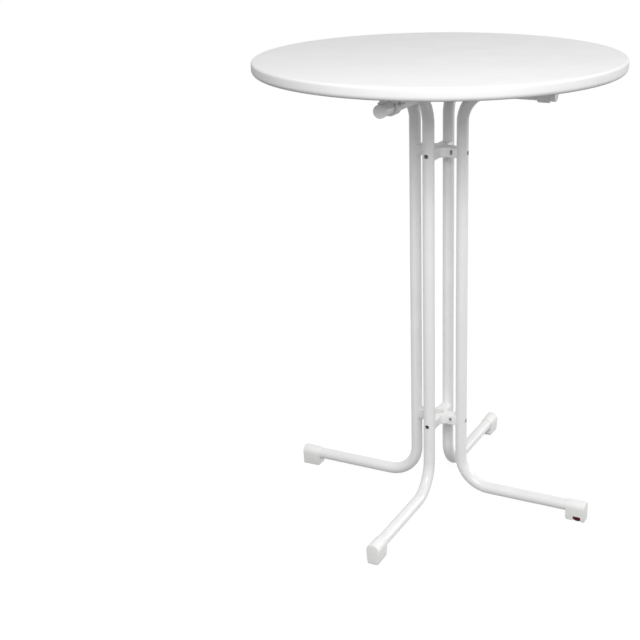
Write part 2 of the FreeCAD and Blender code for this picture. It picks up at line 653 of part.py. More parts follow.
def draw_dome(sketch, width, height, foot, lean):
    """A section with a half-round top, whose sides lean in by an angle down to a level foot line."""
    half = number(width) / 2
    slope = math.radians(number(lean))
    right_touch = FreeCAD.Vector(half * math.cos(slope), number(height) - half - half * math.sin(slope), 0)
    run_in = (right_touch.y - number(foot)) * math.tan(slope)
    right_foot = FreeCAD.Vector(right_touch.x - run_in, number(foot), 0)
    left_touch = FreeCAD.Vector(-right_touch.x, right_touch.y, 0)
    left_foot = FreeCAD.Vector(-right_foot.x, right_foot.y, 0)
    crown = FreeCAD.Vector(0, number(height), 0)
    sole = sketch.addGeometry(Part.LineSegment(left_foot, right_foot))
    right = sketch.addGeometry(Part.LineSegment(right_foot, right_touch))
    dome = sketch.addGeometry(Part.Arc(right_touch, crown, left_touch))
    left = sketch.addGeometry(Part.LineSegment(left_touch, left_foot))
    sketch.addConstraint(Sketcher.Constraint("Coincident", sole, 2, right, 1))
    sketch.addConstraint(Sketcher.Constraint("Tangent", right, 2, dome, 1))
    sketch.addConstraint(Sketcher.Constraint("Tangent", dome, 2, left, 1))
    sketch.addConstraint(Sketcher.Constraint("Coincident", left, 2, sole, 1))
    sketch.addConstraint(Sketcher.Constraint("Symmetric", sole, 1, sole, 2, -2))
    sketch.addConstraint(Sketcher.Constraint("PointOnObject", dome, 3, -2))
    steep = sketch.addConstraint(Sketcher.Constraint("Angle", right, math.pi / 2 - slope))
    sketch.setExpression(f"Constraints[{steep}]", f"90 - {lean}")
    constrain(sketch, f"{width} / 2", "Radius", dome)
    place_point(sketch, "y", f"{height} - {width} / 2", dome, 3)
    place_point(sketch, "y", foot, sole, 1)


def make_foot_cap(side, has_leveller):
    body = new_body(f"foot_cap_{side}")
    below_floor = f"(-{CAP_WIDTH} / 2)"
    end = new_sketch(body, "YZ_Plane", "end", CAP_END)
    draw_dome(end, CAP_WIDTH, CAP_HEIGHT, below_floor, "Sizes.cap_side_lean")
    dome = feature_from(body, "Pad", end, "dome", CAP_LENGTH, reversed_way=True)
    dome.setExpression("TaperAngle", "-Sizes.cap_draft")
    sole = new_sketch(body, "YZ_Plane", "sole", CAP_NECK)
    draw_block(sole, CAP_WIDTH, below_floor, "0")
    feature_from(body, "Pocket", sole, "sole_cut", CAP_LENGTH, reversed_way=True)
    dress_edges(
        body, "Chamfer", "heel", "Sizes.cap_heel_bevel",
        lambda edge: lies_at(edge, "x", CAP_NECK) and lies_at(edge, "z", "0"),
    )
    dress_edges(
        body, "Fillet", "end_edges", "Sizes.cap_end_round",
        lambda edge: lies_at(edge, "x", CAP_END) and not lies_at(edge, "z", "0"),
    )
    heel_edge = f"({CAP_NECK} + Sizes.cap_heel_bevel)"
    dress_edges(
        body, "Fillet", "sole_edges", "Sizes.cap_sole_round",
        lambda edge: lies_at(edge, "z", "0") and not lies_at(edge, "x", heel_edge),
    )
    socket = new_sketch(body, "YZ_Plane", "socket", CAP_NECK)
    draw_circle(socket, "0", FOOT_AXIS, TUBE_SEAT)
    feature_from(body, "Pocket", socket, "socket_bore", "Sizes.cap_socket_depth", reversed_way=True)
    if has_leveller:
        add_leveller_room(body)
    body.Placement = turned(side)


def add_leveller_room(body):
    """The wheel's room, which breaks through both side walls, and the stud's threaded bore."""
    room = new_sketch(body, "XY_Plane", "wheel_room")
    draw_circle(room, LEVELLER_REACH, "0", "Sizes.level_wheel_diameter / 2 + Sizes.level_wheel_room")
    roof = f"({WHEEL_TOP} + Sizes.level_wheel_room)"
    feature_from(body, "Pocket", room, "wheel_room_cut", roof, reversed_way=True)
    bore = new_sketch(body, "XY_Plane", "stud_bore")
    draw_circle(bore, LEVELLER_REACH, "0", "Sizes.level_stud_diameter / 2 + Sizes.level_running_fit")
    stud_top = f"({STUD_BOTTOM} + Sizes.level_stud_length)"
    feature_from(
        body, "Pocket", bore, "stud_bore_cut", f"{stud_top} + Sizes.level_wheel_room", reversed_way=True
    )


# Leveller: a thumb wheel on a threaded stud, standing on a glide that doesn't turn

def make_level_wheel():
    body = new_body("level_wheel")
    disc = new_sketch(body, "XY_Plane", "disc", WHEEL_BOTTOM)
    draw_circle(disc, "0", "0", "Sizes.level_wheel_diameter / 2")
    feature_from(body, "Pad", disc, "wheel", "Sizes.level_wheel_thickness")
    pin_hole = new_sketch(body, "XY_Plane", "pin_hole", WHEEL_BOTTOM)
    draw_circle(pin_hole, "0", "0", "Sizes.level_pin_diameter / 2 + Sizes.level_running_fit")
    feature_from(
        body, "Pocket", pin_hole, "pin_drilling", "Sizes.level_pin_length", reversed_way=True
    )
    stud_hole = new_sketch(body, "XY_Plane", "stud_hole", STUD_BOTTOM)
    draw_circle(stud_hole, "0", "0", "Sizes.level_stud_diameter / 2 + Sizes.level_stud_fit")
    feature_from(body, "Pocket", stud_hole, "stud_seat", "Sizes.level_stud_seat", reversed_way=True)
    grip = new_sketch(body, "XY_Plane", "grip", WHEEL_BOTTOM)
    grip_reach = "(Sizes.level_wheel_diameter / 2 + Sizes.level_grip_diameter / 4)"
    draw_circle(grip, grip_reach, "0", "Sizes.level_grip_diameter / 2")
    notch = feature_from(body, "Pocket", grip, "grip_notch", "Sizes.level_wheel_thickness", reversed_way=True)
    repeat_around(body, notch, "grips", "Sizes.level_grip_count")
    body.setExpression("Placement.Base.x", LEVELLER_REACH)


def make_level_stud():
    body = new_body("level_stud")
    section = new_sketch(body, "XY_Plane", "section", STUD_BOTTOM)
    draw_circle(section, "0", "0", "Sizes.level_stud_diameter / 2")
    feature_from(body, "Pad", section, "rod", "Sizes.level_stud_length")
    top = f"{STUD_BOTTOM} + Sizes.level_stud_length"
    dress_edges(body, "Chamfer", "tip", "Sizes.level_stud_bevel", lambda edge: lies_at(edge, "z", top))
    body.setExpression("Placement.Base.x", LEVELLER_REACH)


def make_level_pad():
    body = new_body("level_pad")
    disc = new_sketch(body, "XY_Plane", "disc", "Sizes.level_pad_lift")
    draw_circle(disc, "0", "0", "Sizes.level_pad_diameter / 2")
    feature_from(body, "Pad", disc, "glide", "Sizes.level_pad_thickness")
    dress_edges(
        body, "Fillet", "sole_edge", "Sizes.level_pad_round",
        lambda edge: lies_at(edge, "z", "Sizes.level_pad_lift"),
    )
    pin_bottom = "(Sizes.level_pad_lift + Sizes.level_pad_thickness)"
    pin = new_sketch(body, "XY_Plane", "pin", pin_bottom)
    draw_circle(pin, "0", "0", "Sizes.level_pin_diameter / 2")
    feature_from(body, "Pad", pin, "pivot", "Sizes.level_pin_length")
    body.setExpression("Placement.Base.x", LEVELLER_REACH)


make_table_top()
for side in SIDES:
    make_leg_tube(side)
    make_arm_plug(side)
    make_clamp_saddle(side)
    make_clamp_strap(side)
    make_foot_cap(side, has_leveller=(side == "right"))
for level, height in (("upper", UPPER_CROSS), ("lower", LOWER_CROSS)):
    make_cross(f"{level}_cross", height)
    make_cross_bolts(f"{level}_cross_bolts", height)
    make_cross_nuts(f"{level}_cross_nuts", height)
make_clamp_screws("clamp_screws")
make_level_wheel()
make_level_stud()
make_level_pad()
doc.recompute()

failed = [item.Name for item in doc.Objects if {"Invalid", "Error"} & set(item.State)]
for part in parts:
    if part.Shape.isNull() or not part.Shape.isValid():
        failed.append(part.Name)
if failed:
    raise RuntimeError("failed: " + ", ".join(sorted(set(failed))))

os.makedirs("parts", exist_ok=True)
for part in parts:
    part.Shape.exportStep(f"parts/{part.Label}.step")
    print(f"{part.Label}: {len(part.Shape.Solids)} solids, {part.Shape.Volume / 1000:.1f} cm3")
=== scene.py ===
# %% [markdown]
# High cocktail table, dressed for its portrait.
# The measured frame comes first: every piece of the real table is already there at its true size and place.
# Each plain solid then gets a smooth, edge-softened twin, and every surface gets a finish of its own.

# %% Load the measured frame
import json
import math

import bmesh
import bpy
from mathutils import Matrix, Vector


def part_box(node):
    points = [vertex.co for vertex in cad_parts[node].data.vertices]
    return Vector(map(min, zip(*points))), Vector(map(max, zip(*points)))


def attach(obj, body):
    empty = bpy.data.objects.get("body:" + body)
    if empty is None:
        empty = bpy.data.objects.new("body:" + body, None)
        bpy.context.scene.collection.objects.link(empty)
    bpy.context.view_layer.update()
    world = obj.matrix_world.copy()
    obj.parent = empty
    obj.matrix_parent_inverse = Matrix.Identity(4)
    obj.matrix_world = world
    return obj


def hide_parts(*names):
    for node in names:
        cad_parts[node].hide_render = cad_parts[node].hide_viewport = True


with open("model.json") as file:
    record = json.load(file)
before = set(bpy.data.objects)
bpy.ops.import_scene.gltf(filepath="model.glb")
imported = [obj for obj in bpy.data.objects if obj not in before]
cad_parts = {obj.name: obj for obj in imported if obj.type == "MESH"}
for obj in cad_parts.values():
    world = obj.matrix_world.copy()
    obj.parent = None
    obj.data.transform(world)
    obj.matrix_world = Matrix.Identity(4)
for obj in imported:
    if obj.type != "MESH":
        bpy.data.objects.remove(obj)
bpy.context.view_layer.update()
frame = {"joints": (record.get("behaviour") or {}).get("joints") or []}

MM = 0.001

# %% [markdown]
# The camera stands where the photographer stood: a little above the plate, in front of the table and to
# its right. Its place, turn and lens were worked out from the plate's rim, the uprights and the feet in
# the picture, for an image of 640 by 640 pixels. The small shift only moves the picture's middle to
# where the table stands. Operators act on all that is selected, so the desk is cleared before anything
# new is added.

# %% Clear desk and camera
IMAGE_SIDE = 640
FOCAL_PIXELS = 1201.38
MIDDLE_PIXEL = (383, 256)
CAMERA_AZIMUTH = math.radians(23)
CAMERA_REACH = 2738 * MM
CAMERA_HEIGHT = 1499 * MM
CAMERA_YAW = math.radians(-2.788)
CAMERA_PITCH = math.radians(17.721)
CAMERA_ROLL = math.radians(-0.872)


def clear_desk():
    """Leaves edit mode and selects nothing."""
    if bpy.context.object and bpy.context.object.mode != "OBJECT":
        bpy.ops.object.mode_set(mode="OBJECT")
    bpy.ops.object.select_all(action="DESELECT")


forward = Vector((math.sin(CAMERA_YAW) * math.cos(CAMERA_PITCH),
                  math.cos(CAMERA_YAW) * math.cos(CAMERA_PITCH),
                  -math.sin(CAMERA_PITCH)))
level_right = Vector((math.cos(CAMERA_YAW), -math.sin(CAMERA_YAW), 0))
rightward = Matrix.Rotation(-CAMERA_ROLL, 3, forward) @ level_right
upward = rightward.cross(forward)
round_table = Matrix.Rotation(CAMERA_AZIMUTH, 3, "Z")
camera_turn = round_table @ Matrix((rightward, upward, -forward)).transposed()
camera_place = round_table @ Vector((0, -CAMERA_REACH, CAMERA_HEIGHT))

clear_desk()
bpy.ops.object.camera_add(location=camera_place, rotation=camera_turn.to_euler())
camera = bpy.context.object
camera.name = "portrait_camera"
camera.data.lens = FOCAL_PIXELS / IMAGE_SIDE * camera.data.sensor_width
camera.data.shift_x = (IMAGE_SIDE / 2 - MIDDLE_PIXEL[0]) / IMAGE_SIDE
camera.data.shift_y = (MIDDLE_PIXEL[1] - IMAGE_SIDE / 2) / IMAGE_SIDE
bpy.context.scene.camera = camera
print("camera at", [round(value, 3) for value in camera_place], "lens", round(camera.data.lens, 1))

# %% [markdown]
# Materials are built from nodes. One helper adds a node, sets it up and wires it, and one function turns
# the sRGB hex value that a colour picker shows into the linear light that the renderer works in. Pattern
# sizes are given in millimetres on the real surface, and patterns read Object coordinates, the table's
# own metres.

# %% Node helpers
def colour(hex_value):
    """An sRGB hex colour as linear light, with full alpha."""
    channels = [int(hex_value[start:start + 2], 16) / 255 for start in (1, 3, 5)]
    linear = [c / 12.92 if c <= 0.04045 else ((c + 0.055) / 1.055) ** 2.4 for c in channels]
    return (*linear, 1.0)


def add_node(material, kind, settings=None, inputs=None):
    """One node with its settings; each input is a value, or the output of another node."""
    node = material.node_tree.nodes.new(kind)
    for key, value in (settings or {}).items():
        setattr(node, key, value)
    for key, value in (inputs or {}).items():
        if isinstance(value, bpy.types.NodeSocket):
            material.node_tree.links.new(value, node.inputs[key])
        else:
            node.inputs[key].default_value = value
    return node


def grain(millimetres):
    """The texture scale whose spots are about that wide."""
    return 1 / (millimetres * MM)


print("a mid grey as light:", round(colour("#808080")[0], 3))

# %% [markdown]
# All finishes share one build. No batch of pigment is quite even, so slow clouds run between two near
# colours. The gloss is patchy, and a fine relief breaks up the highlights. One function builds that, and
# the sizes and colours given to it make the material.

# %% Shared build of a finish
CLOUD_BAND = (0.35, 0.65)
SHEEN_BAND = (0.3, 0.7)


def finish_from(name, pale, deep, cloud_mm, gloss, sheen_mm, relief_mm, relief_height_mm,
                metallic=0.0, ior=1.5, shine=0.5):
    """A surface with clouds of two colours, a gloss between two roughness values, and a fine relief."""
    material = bpy.data.materials.new(name)
    material.use_nodes = True
    shader = material.node_tree.nodes["Principled BSDF"]
    shader.inputs["Metallic"].default_value = metallic
    shader.inputs["IOR"].default_value = ior
    shader.inputs["Specular IOR Level"].default_value = shine
    place = add_node(material, "ShaderNodeTexCoord").outputs["Object"]
    clouds = add_node(material, "ShaderNodeTexNoise", inputs={
        "Vector": place, "Scale": grain(cloud_mm), "Detail": 4.0, "Roughness": 0.6})
    tint = add_node(material, "ShaderNodeValToRGB", inputs={"Fac": clouds.outputs["Fac"]})
    for stop, position, shade in zip(tint.color_ramp.elements, CLOUD_BAND, (deep, pale)):
        stop.position = position
        stop.color = colour(shade)
    patches = add_node(material, "ShaderNodeTexNoise", inputs={
        "Vector": place, "Scale": grain(sheen_mm), "Detail": 3.0})
    rough = add_node(material, "ShaderNodeMapRange", inputs={
        "Value": patches.outputs["Fac"], "From Min": SHEEN_BAND[0], "From Max": SHEEN_BAND[1],
        "To Min": gloss[0], "To Max": gloss[1]})
    relief = add_node(material, "ShaderNodeTexNoise", inputs={
        "Vector": place, "Scale": grain(relief_mm), "Detail": 2.0, "Roughness": 0.55})
    bump = add_node(material, "ShaderNodeBump", inputs={
        "Height": relief.outputs["Fac"], "Distance": relief_height_mm * MM, "Strength": 1.0})
    links = material.node_tree.links
    links.new(tint.outputs["Color"], shader.inputs["Base Color"])
    links.new(rough.outputs["Result"], shader.inputs["Roughness"])
    links.new(bump.outputs["Normal"], shader.inputs["Normal"])
    print("finish:", name)
    return material


# %% [markdown]
# Making and use leave traces: a cloth leaves faint streaks, shoes scuff the tubes near the floor, and
# corners are rubbed. On the zinc and on the wheel the lighter edges are partly rubbing and partly a painted
# highlight. Each trace is a mask, and a second colour or gloss is laid over the finish where the mask is
# strong. The Mix node has a pair of inputs for each kind of data, and the helper looks up which is meant.

# %% Laying a trace over a finish
MIX_SOCKETS = {"RGBA": ("RGBA", 6, 7, 2), "VALUE": ("FLOAT", 2, 3, 0)}


def lay_over(material, socket_name, mask, value):
    """Lays a colour or a gloss over what feeds one of the shader's sockets, as far as the mask says."""
    socket = material.node_tree.nodes["Principled BSDF"].inputs[socket_name]
    kind, below, above, result = MIX_SOCKETS[socket.type]
    mix = add_node(material, "ShaderNodeMix", {"data_type": kind}, {
        0: mask, below: socket.links[0].from_socket, above: value})
    material.node_tree.links.new(mix.outputs[result], socket)


# %% [markdown]
# The plate is wood fibre pressed hot under a white melamine paper. The resin takes the dull pearl grain
# of the press plate, so the eye gets an even white with a weak, broad sheen, and a hint of the cloth
# that wipes it. Streaks are noise that is drawn out along one direction. The real grain of about 0.5 mm
# would be lost in the picture, so it is drawn at 1.6 mm.

# %% Melamine facing
STREAK_BAND = (0.58, 0.74)
WIPED_ROUGHNESS = 0.86


def streaks(material, long_mm, wide_mm, angle, most):
    """A mask of long thin marks that lie level and run at an angle to the X axis."""
    place = add_node(material, "ShaderNodeTexCoord").outputs["Object"]
    drawn_out = add_node(material, "ShaderNodeMapping", inputs={
        "Vector": place, "Rotation": (0, 0, math.radians(angle)),
        "Scale": (grain(long_mm), grain(wide_mm), grain(long_mm))})
    marks = add_node(material, "ShaderNodeTexNoise", inputs={
        "Vector": drawn_out.outputs["Vector"], "Scale": 1.0, "Detail": 3.0})
    return add_node(material, "ShaderNodeMapRange", inputs={
        "Value": marks.outputs["Fac"], "From Min": STREAK_BAND[0], "From Max": STREAK_BAND[1],
        "To Max": most}).outputs["Result"]


melamine = finish_from(
    "melamine_facing", pale="#f0f0f0", deep="#ededed", cloud_mm=90, gloss=(0.7, 0.78), sheen_mm=25,
    relief_mm=1.6, relief_height_mm=0.012, ior=1.55, shine=0.1)
for angle in (24, -38):
    wiped = streaks(melamine, long_mm=70, wide_mm=1.5, angle=angle, most=0.5)
    lay_over(melamine, "Roughness", wiped, WIPED_ROUGHNESS)

# %% [markdown]
# The tubes are steel under a white powder coat. The powder melts and flows in the oven, but not quite
# flat, which leaves the soft orange peel that wobbles a highlight. The real peel is about 1 mm wide; it
# is drawn at 1.8 mm, to show at this distance. Shoes leave grey scuffs on the feet, so spots of noise
# are multiplied by a slope that ends at a height.

# %% Powder-coated steel
SCUFF_BAND = (0.5, 0.68)


def spots_near_floor(material, up_to_mm, spot_mm, most):
    """A mask of spots that is strongest on the floor and ends at a height."""
    place = add_node(material, "ShaderNodeTexCoord").outputs["Object"]
    height = add_node(material, "ShaderNodeSeparateXYZ", inputs={"Vector": place}).outputs["Z"]
    low = add_node(material, "ShaderNodeMapRange", inputs={
        "Value": height, "From Min": 0.0, "From Max": up_to_mm * MM, "To Min": most, "To Max": 0.0})
    spots = add_node(material, "ShaderNodeTexNoise", inputs={
        "Vector": place, "Scale": grain(spot_mm), "Detail": 5.0, "Roughness": 0.7})
    marks = add_node(material, "ShaderNodeMapRange", inputs={
        "Value": spots.outputs["Fac"], "From Min": SCUFF_BAND[0], "From Max": SCUFF_BAND[1]})
    return add_node(material, "ShaderNodeMath", {"operation": "MULTIPLY"}, {
        0: low.outputs["Result"], 1: marks.outputs["Result"]}).outputs["Value"]


powder_coat = finish_from(
    "powder_coated_steel", pale="#f4f4f4", deep="#f0f0f0", cloud_mm=60, gloss=(0.18, 0.27), sheen_mm=9,
    relief_mm=1.8, relief_height_mm=0.016)
shoe_marks = spots_near_floor(powder_coat, up_to_mm=60, spot_mm=5, most=0.16)
lay_over(powder_coat, "Base Color", shoe_marks, colour("#c4c4c3"))

# %% [markdown]
# Crosses, caps, plugs and clamps are moulded of white polyamide. The mould is spark-eroded, so the
# plastic has a fine matt grain that scatters the light. Corners are rubbed smooth, and the caps turn a
# little greyer in spots towards the sole. Corners are found by comparing the true normal with one that is
# rounded over a short reach. The real grain of about 0.2 mm would be lost here, so it is drawn at 0.7 mm.

# %% Moulded polyamide
EDGE_BAND = (0.995, 0.88)
EDGE_SAMPLES = 6
RUBBED_ROUGHNESS = 0.3


def edge_wear_and_highlight(material, reach_mm, most):
    """A mask along the edges, up to a share of most: rubbing, and where it lightens a colour, a painted
    highlight.
    """
    rounded = add_node(material, "ShaderNodeBevel", {"samples": EDGE_SAMPLES}, {"Radius": reach_mm * MM})
    true = add_node(material, "ShaderNodeNewGeometry")
    agreement = add_node(material, "ShaderNodeVectorMath", {"operation": "DOT_PRODUCT"}, {
        0: rounded.outputs["Normal"], 1: true.outputs["Normal"]})
    return add_node(material, "ShaderNodeMapRange", inputs={
        "Value": agreement.outputs["Value"], "From Min": EDGE_BAND[0], "From Max": EDGE_BAND[1],
        "To Max": most}).outputs["Result"]


polyamide = finish_from(
    "moulded_polyamide", pale="#f7f7f6", deep="#f2f2f1", cloud_mm=22, gloss=(0.42, 0.54), sheen_mm=6,
    relief_mm=0.7, relief_height_mm=0.025)
lay_over(polyamide, "Roughness", edge_wear_and_highlight(polyamide, reach_mm=2.5, most=0.7), RUBBED_ROUGHNESS)
lay_over(polyamide, "Base Color", spots_near_floor(polyamide, up_to_mm=9, spot_mm=3, most=0.5), colour("#cfcecb"))

# %% [markdown]
# Screws, nuts and the leveller's stud are zinc-plated steel. Plating from a barrel is no mirror: its
# fine crystals and the knocks of the barrel give a broken grey shine. The edges are painted a lighter
# zinc, partly as rubbing and partly as a painted highlight.
# The real crystals are far finer than the 0.5 mm drawn here.

# %% Zinc-plated steel
zinc_plate = finish_from(
    "zinc_plated_steel", pale="#b4b5b3", deep="#949593", cloud_mm=5, gloss=(0.24, 0.42), sheen_mm=2,
    relief_mm=0.5, relief_height_mm=0.01, metallic=1.0)
# Lighter zinc along the edges: partly rubbing, partly a painted highlight.
lay_over(zinc_plate, "Base Color", edge_wear_and_highlight(zinc_plate, reach_mm=0.6, most=0.7), colour("#d2d3d2"))

# %% [markdown]
# The leveller's wheel is moulded of deep red nylon, and the glide below it of dark polyethylene, which is
# waxy and soon dulled by the floor. The wheel is so dark that its edges are painted a lighter red, partly
# as rubbing and partly as a painted highlight, so that they read as red. Both have the fine grain of a
# mould, drawn about as coarse as the polyamide's.

# %% Red nylon and dark polyethylene
red_nylon = finish_from(
    "red_nylon", pale="#500a0e", deep="#3c070a", cloud_mm=8, gloss=(0.4, 0.54), sheen_mm=3,
    relief_mm=0.6, relief_height_mm=0.02, ior=1.53, shine=0.2)
# Lighter red along the edges: partly rubbing, partly a painted highlight.
lay_over(red_nylon, "Base Color", edge_wear_and_highlight(red_nylon, reach_mm=0.8, most=0.5), colour("#86171c"))
dark_glide = finish_from(
    "dark_polyethylene", pale="#39393a", deep="#2a2a2b", cloud_mm=6, gloss=(0.42, 0.6), sheen_mm=3,
    relief_mm=0.6, relief_height_mm=0.03, ior=1.51)
lay_over(dark_glide, "Base Color", spots_near_floor(dark_glide, up_to_mm=3, spot_mm=2, most=0.6), colour("#5a5a59"))

# %% [markdown]
# Modelling begins with what a hand does at the bench. A piece is taken up and opened for editing, and
# some of its faces, edges or points are picked by a test on their place or direction.

# %% Taking up, opening and picking
def take(piece):
    """Makes one piece the only selected and active one."""
    clear_desk()
    piece.select_set(True)
    bpy.context.view_layer.objects.active = piece


def edit(piece):
    """Opens a piece for editing, all selected."""
    take(piece)
    bpy.ops.object.mode_set(mode="EDIT")
    bpy.ops.mesh.select_all(action="SELECT")


def open_up(name):
    """Names the primitive that was just added and opens it for editing."""
    piece = bpy.context.object
    piece.name = name
    piece.data.name = name
    bpy.ops.object.transform_apply(location=True, rotation=True, scale=True)
    edit(piece)
    return piece


def pick(kind, wanted):
    """Selects only those faces, edges or points of the open piece that pass a test."""
    bpy.ops.mesh.select_mode(type=kind)
    bpy.ops.mesh.select_all(action="DESELECT")
    mesh = bpy.context.edit_object.data
    shape = bmesh.from_edit_mesh(mesh)
    for item in {"FACE": shape.faces, "EDGE": shape.edges, "VERT": shape.verts}[kind]:
        item.select_set(wanted(item))
    shape.select_flush_mode()
    bmesh.update_edit_mesh(mesh)


# %% [markdown]
# The tests read like a maker's words: the middle of an edge is near a level, an edge runs along an axis,
# two faces meet at a sharp edge, or a face looks in a direction.

# %% Tests for picking
HAIR = 0.01 * MM
STRAIGHT_SHARE = 0.999
FACING_SHARE = 0.9


def middle(edge):
    """The midpoint of an edge."""
    return (edge.verts[0].co + edge.verts[1].co) / 2


def near(value, place, slack=HAIR):
    """True where two lengths are the same, but for a hair."""
    return abs(value - place) < slack


def along(edge, axis):
    """True for an edge that runs along one axis: 0 for X, 1 for Y, 2 for Z."""
    run = edge.verts[1].co - edge.verts[0].co
    return abs(run[axis]) > STRAIGHT_SHARE * run.length


def sharp(edge, least=1.0):
    """True where two faces meet at more than so many radians."""
    return edge.calc_face_angle(0) > least


def looks(face, x=0, y=0, z=0):
    """True for a face that looks in a direction."""
    return face.normal.dot(Vector((x, y, z))) > FACING_SHARE


# %% [markdown]
# What is picked is pushed out or rounded, and points that fall together are welded. Most pieces start
# from a cylinder between two points, which the last helper adds.

# %% Shaping
WELD_GAP = 0.001 * MM
ROD_FACETS = 48


def push(x=0, y=0, z=0):
    """Extrudes what is selected by a straight move."""
    bpy.ops.mesh.extrude_region_move(TRANSFORM_OT_translate={"value": (x, y, z)})


def round_off(wanted, radius, steps):
    """Rounds those edges of the open piece that pass a test."""
    pick("EDGE", wanted)
    bpy.ops.mesh.bevel(offset=radius, segments=steps, profile=0.5)


def weld(gap=WELD_GAP):
    """Merges the points of the open piece that lie on one another."""
    bpy.ops.mesh.select_all(action="SELECT")
    bpy.ops.mesh.remove_doubles(threshold=gap)


def rod(radius, start, end, facets=ROD_FACETS):
    """A cylinder from one point to another."""
    clear_desk()
    start, end = Vector(start), Vector(end)
    run = end - start
    turn = run.to_track_quat("Z", "Y").to_euler()
    bpy.ops.mesh.primitive_cylinder_add(
        vertices=facets, radius=radius, depth=run.length, location=(start + end) / 2, rotation=turn)
    bpy.ops.object.transform_apply(location=True, rotation=True, scale=True)
    return bpy.context.object


# %% [markdown]
# A finished piece is welded and its faces are turned outward. Shallow angles are shaded smooth, while
# sharp ones stay crisp. It gets its finish, and it rides on the body that carries the plain solids it
# stands for.

# %% Setting a piece down
def set_down(piece, finish, body, nodes, smooth_below=35):
    """Closes and smooths a piece, gives it its finish and puts it in place of its plain solids."""
    edit(piece)
    weld()
    bpy.ops.mesh.normals_make_consistent(inside=False)
    bpy.ops.object.mode_set(mode="OBJECT")
    bpy.ops.object.shade_smooth_by_angle(angle=math.radians(smooth_below))
    piece.data.materials.clear()
    piece.data.materials.append(finish)
    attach(piece, body)
    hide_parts(*nodes)


# %% [markdown]
# The plate is one pressed board. It could be spun from a half section, but a cylinder whose rim edges are
# bevelled one by one shows better what the press does: a small round at the top, a deep round below, and a
# shallow hollow inside the lip.

# %% Plate
PLATE_RADIUS = 425 * MM
PLATE_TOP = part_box("table_top")[1].z
RIM_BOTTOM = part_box("table_top")[0].z
LIP_WIDTH = 26 * MM
LIP_DROP = 9 * MM
LIP_REACH = PLATE_RADIUS - LIP_WIDTH
FIELD_UNDERSIDE = RIM_BOTTOM + LIP_DROP
PLATE_FACETS = 256
FACET_SAG = 0.2 * MM
TOP_ROUND = 6 * MM
RIM_ROUND = 11 * MM
LIP_ROUND = 3.5 * MM


def reach_of(edge):
    """How far an edge's middle lies from the table's upright axis."""
    return middle(edge).xy.length


plate = rod(PLATE_RADIUS, (0, 0, RIM_BOTTOM), (0, 0, PLATE_TOP), PLATE_FACETS)
open_up("plate")
pick("FACE", lambda face: looks(face, z=-1))
bpy.ops.mesh.inset(thickness=LIP_WIDTH)
push(z=LIP_DROP)
for level, reach, radius, steps in (
    (PLATE_TOP, PLATE_RADIUS, TOP_ROUND, 6),
    (RIM_BOTTOM, PLATE_RADIUS, RIM_ROUND, 9),
    (RIM_BOTTOM, LIP_REACH, LIP_ROUND, 5),
    (FIELD_UNDERSIDE, LIP_REACH, LIP_ROUND, 5),
):
    round_off(
        lambda edge: near(middle(edge).z, level) and near(reach_of(edge), reach, FACET_SAG), radius, steps)
set_down(plate, melamine, "table", ["table_top"])
print("plate faces:", len(plate.data.polygons))

# %% [markdown]
# The four legs are alike but for the length of the arm under the plate, so each piece is modelled on the
# side that points along +X, and then turned about the middle. Cuts and walls are made by modifiers,
# which are applied at once so that the mesh itself holds the shape.

# %% Cutting and turning
SIDES = {"right": 0, "back": 90, "left": 180, "front": 270}


def apply_modifier(piece, kind, **settings):
    """Adds a modifier with its settings and makes it part of the mesh."""
    take(piece)
    modifier = piece.modifiers.new(kind.lower(), kind)
    for key, value in settings.items():
        setattr(modifier, key, value)
    bpy.ops.object.modifier_apply(modifier=modifier.name)


def cut_away(piece, cutter, operation="DIFFERENCE"):
    """Cuts a piece with another one, or welds it on, and uses the other one up."""
    apply_modifier(piece, "BOOLEAN", object=cutter, operation=operation, solver="EXACT")
    bpy.data.objects.remove(cutter)


def turn_to(piece, side):
    """Turns a piece about the middle of the table to one side."""
    take(piece)
    piece.rotation_euler.z = math.radians(SIDES[side])
    bpy.ops.object.transform_apply(location=True, rotation=True, scale=True)
    return piece


print("sides, in degrees from +X:", SIDES)

# %% [markdown]
# Each leg is one steel tube, bent twice in one plane to a foot, an upright and an arm. The arms at the
# front and the back are the longer ones. The foot's end and the levels of the crosses are read from the
# frame.

# %% Tube sizes
LONG_ARMS = ("back", "front")
LONG_ARM_END = 306 * MM
SHORT_ARM_END = 272 * MM
ARM_ENDS = {side: LONG_ARM_END if side in LONG_ARMS else SHORT_ARM_END for side in SIDES}
TUBE_RADIUS = 14 * MM
TUBE_WALL = 1.5 * MM
TUBE_FACETS = 56
BEND_RADIUS = 75 * MM
BEND_STEPS = 20
UPRIGHT_REACH = 60 * MM
FOOT_AXIS = 33 * MM
ARM_AXIS = 1027.5 * MM
FOOT_TUBE_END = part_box("leg_tube_right")[1].x
CROSS_LEVELS = {
    name: sum(corner.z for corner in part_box(f"{name}_cross")) / 2 for name in ("upper", "lower")}
BEND_END = UPRIGHT_REACH + BEND_RADIUS
LOW_BEND = FOOT_AXIS + BEND_RADIUS
HIGH_BEND = ARM_AXIS - BEND_RADIUS
ACCESS_RADIUS = 5.2 * MM
BOLT_HOLE_RADIUS = 3.2 * MM
HOLE_BAND = 9 * MM
print("arm axis", round(ARM_AXIS, 4), "arm ends", ARM_ENDS, "crosses", CROSS_LEVELS)

# %% [markdown]
# As on the bending machine, a ring is drawn along the foot, swung round the first bend, drawn up, swung
# round the second bend and drawn out under the plate. A sweep along a curve would do too, but here each
# move shows. A wall thickness is added, and the two screw heads get their round access holes on the
# outer side.

# %% Leg tubes
QUARTER = math.pi / 2
UPRIGHT_STOPS = (
    CROSS_LEVELS["lower"] - HOLE_BAND, CROSS_LEVELS["lower"] + HOLE_BAND,
    CROSS_LEVELS["upper"] - HOLE_BAND, CROSS_LEVELS["upper"] + HOLE_BAND, HIGH_BEND)


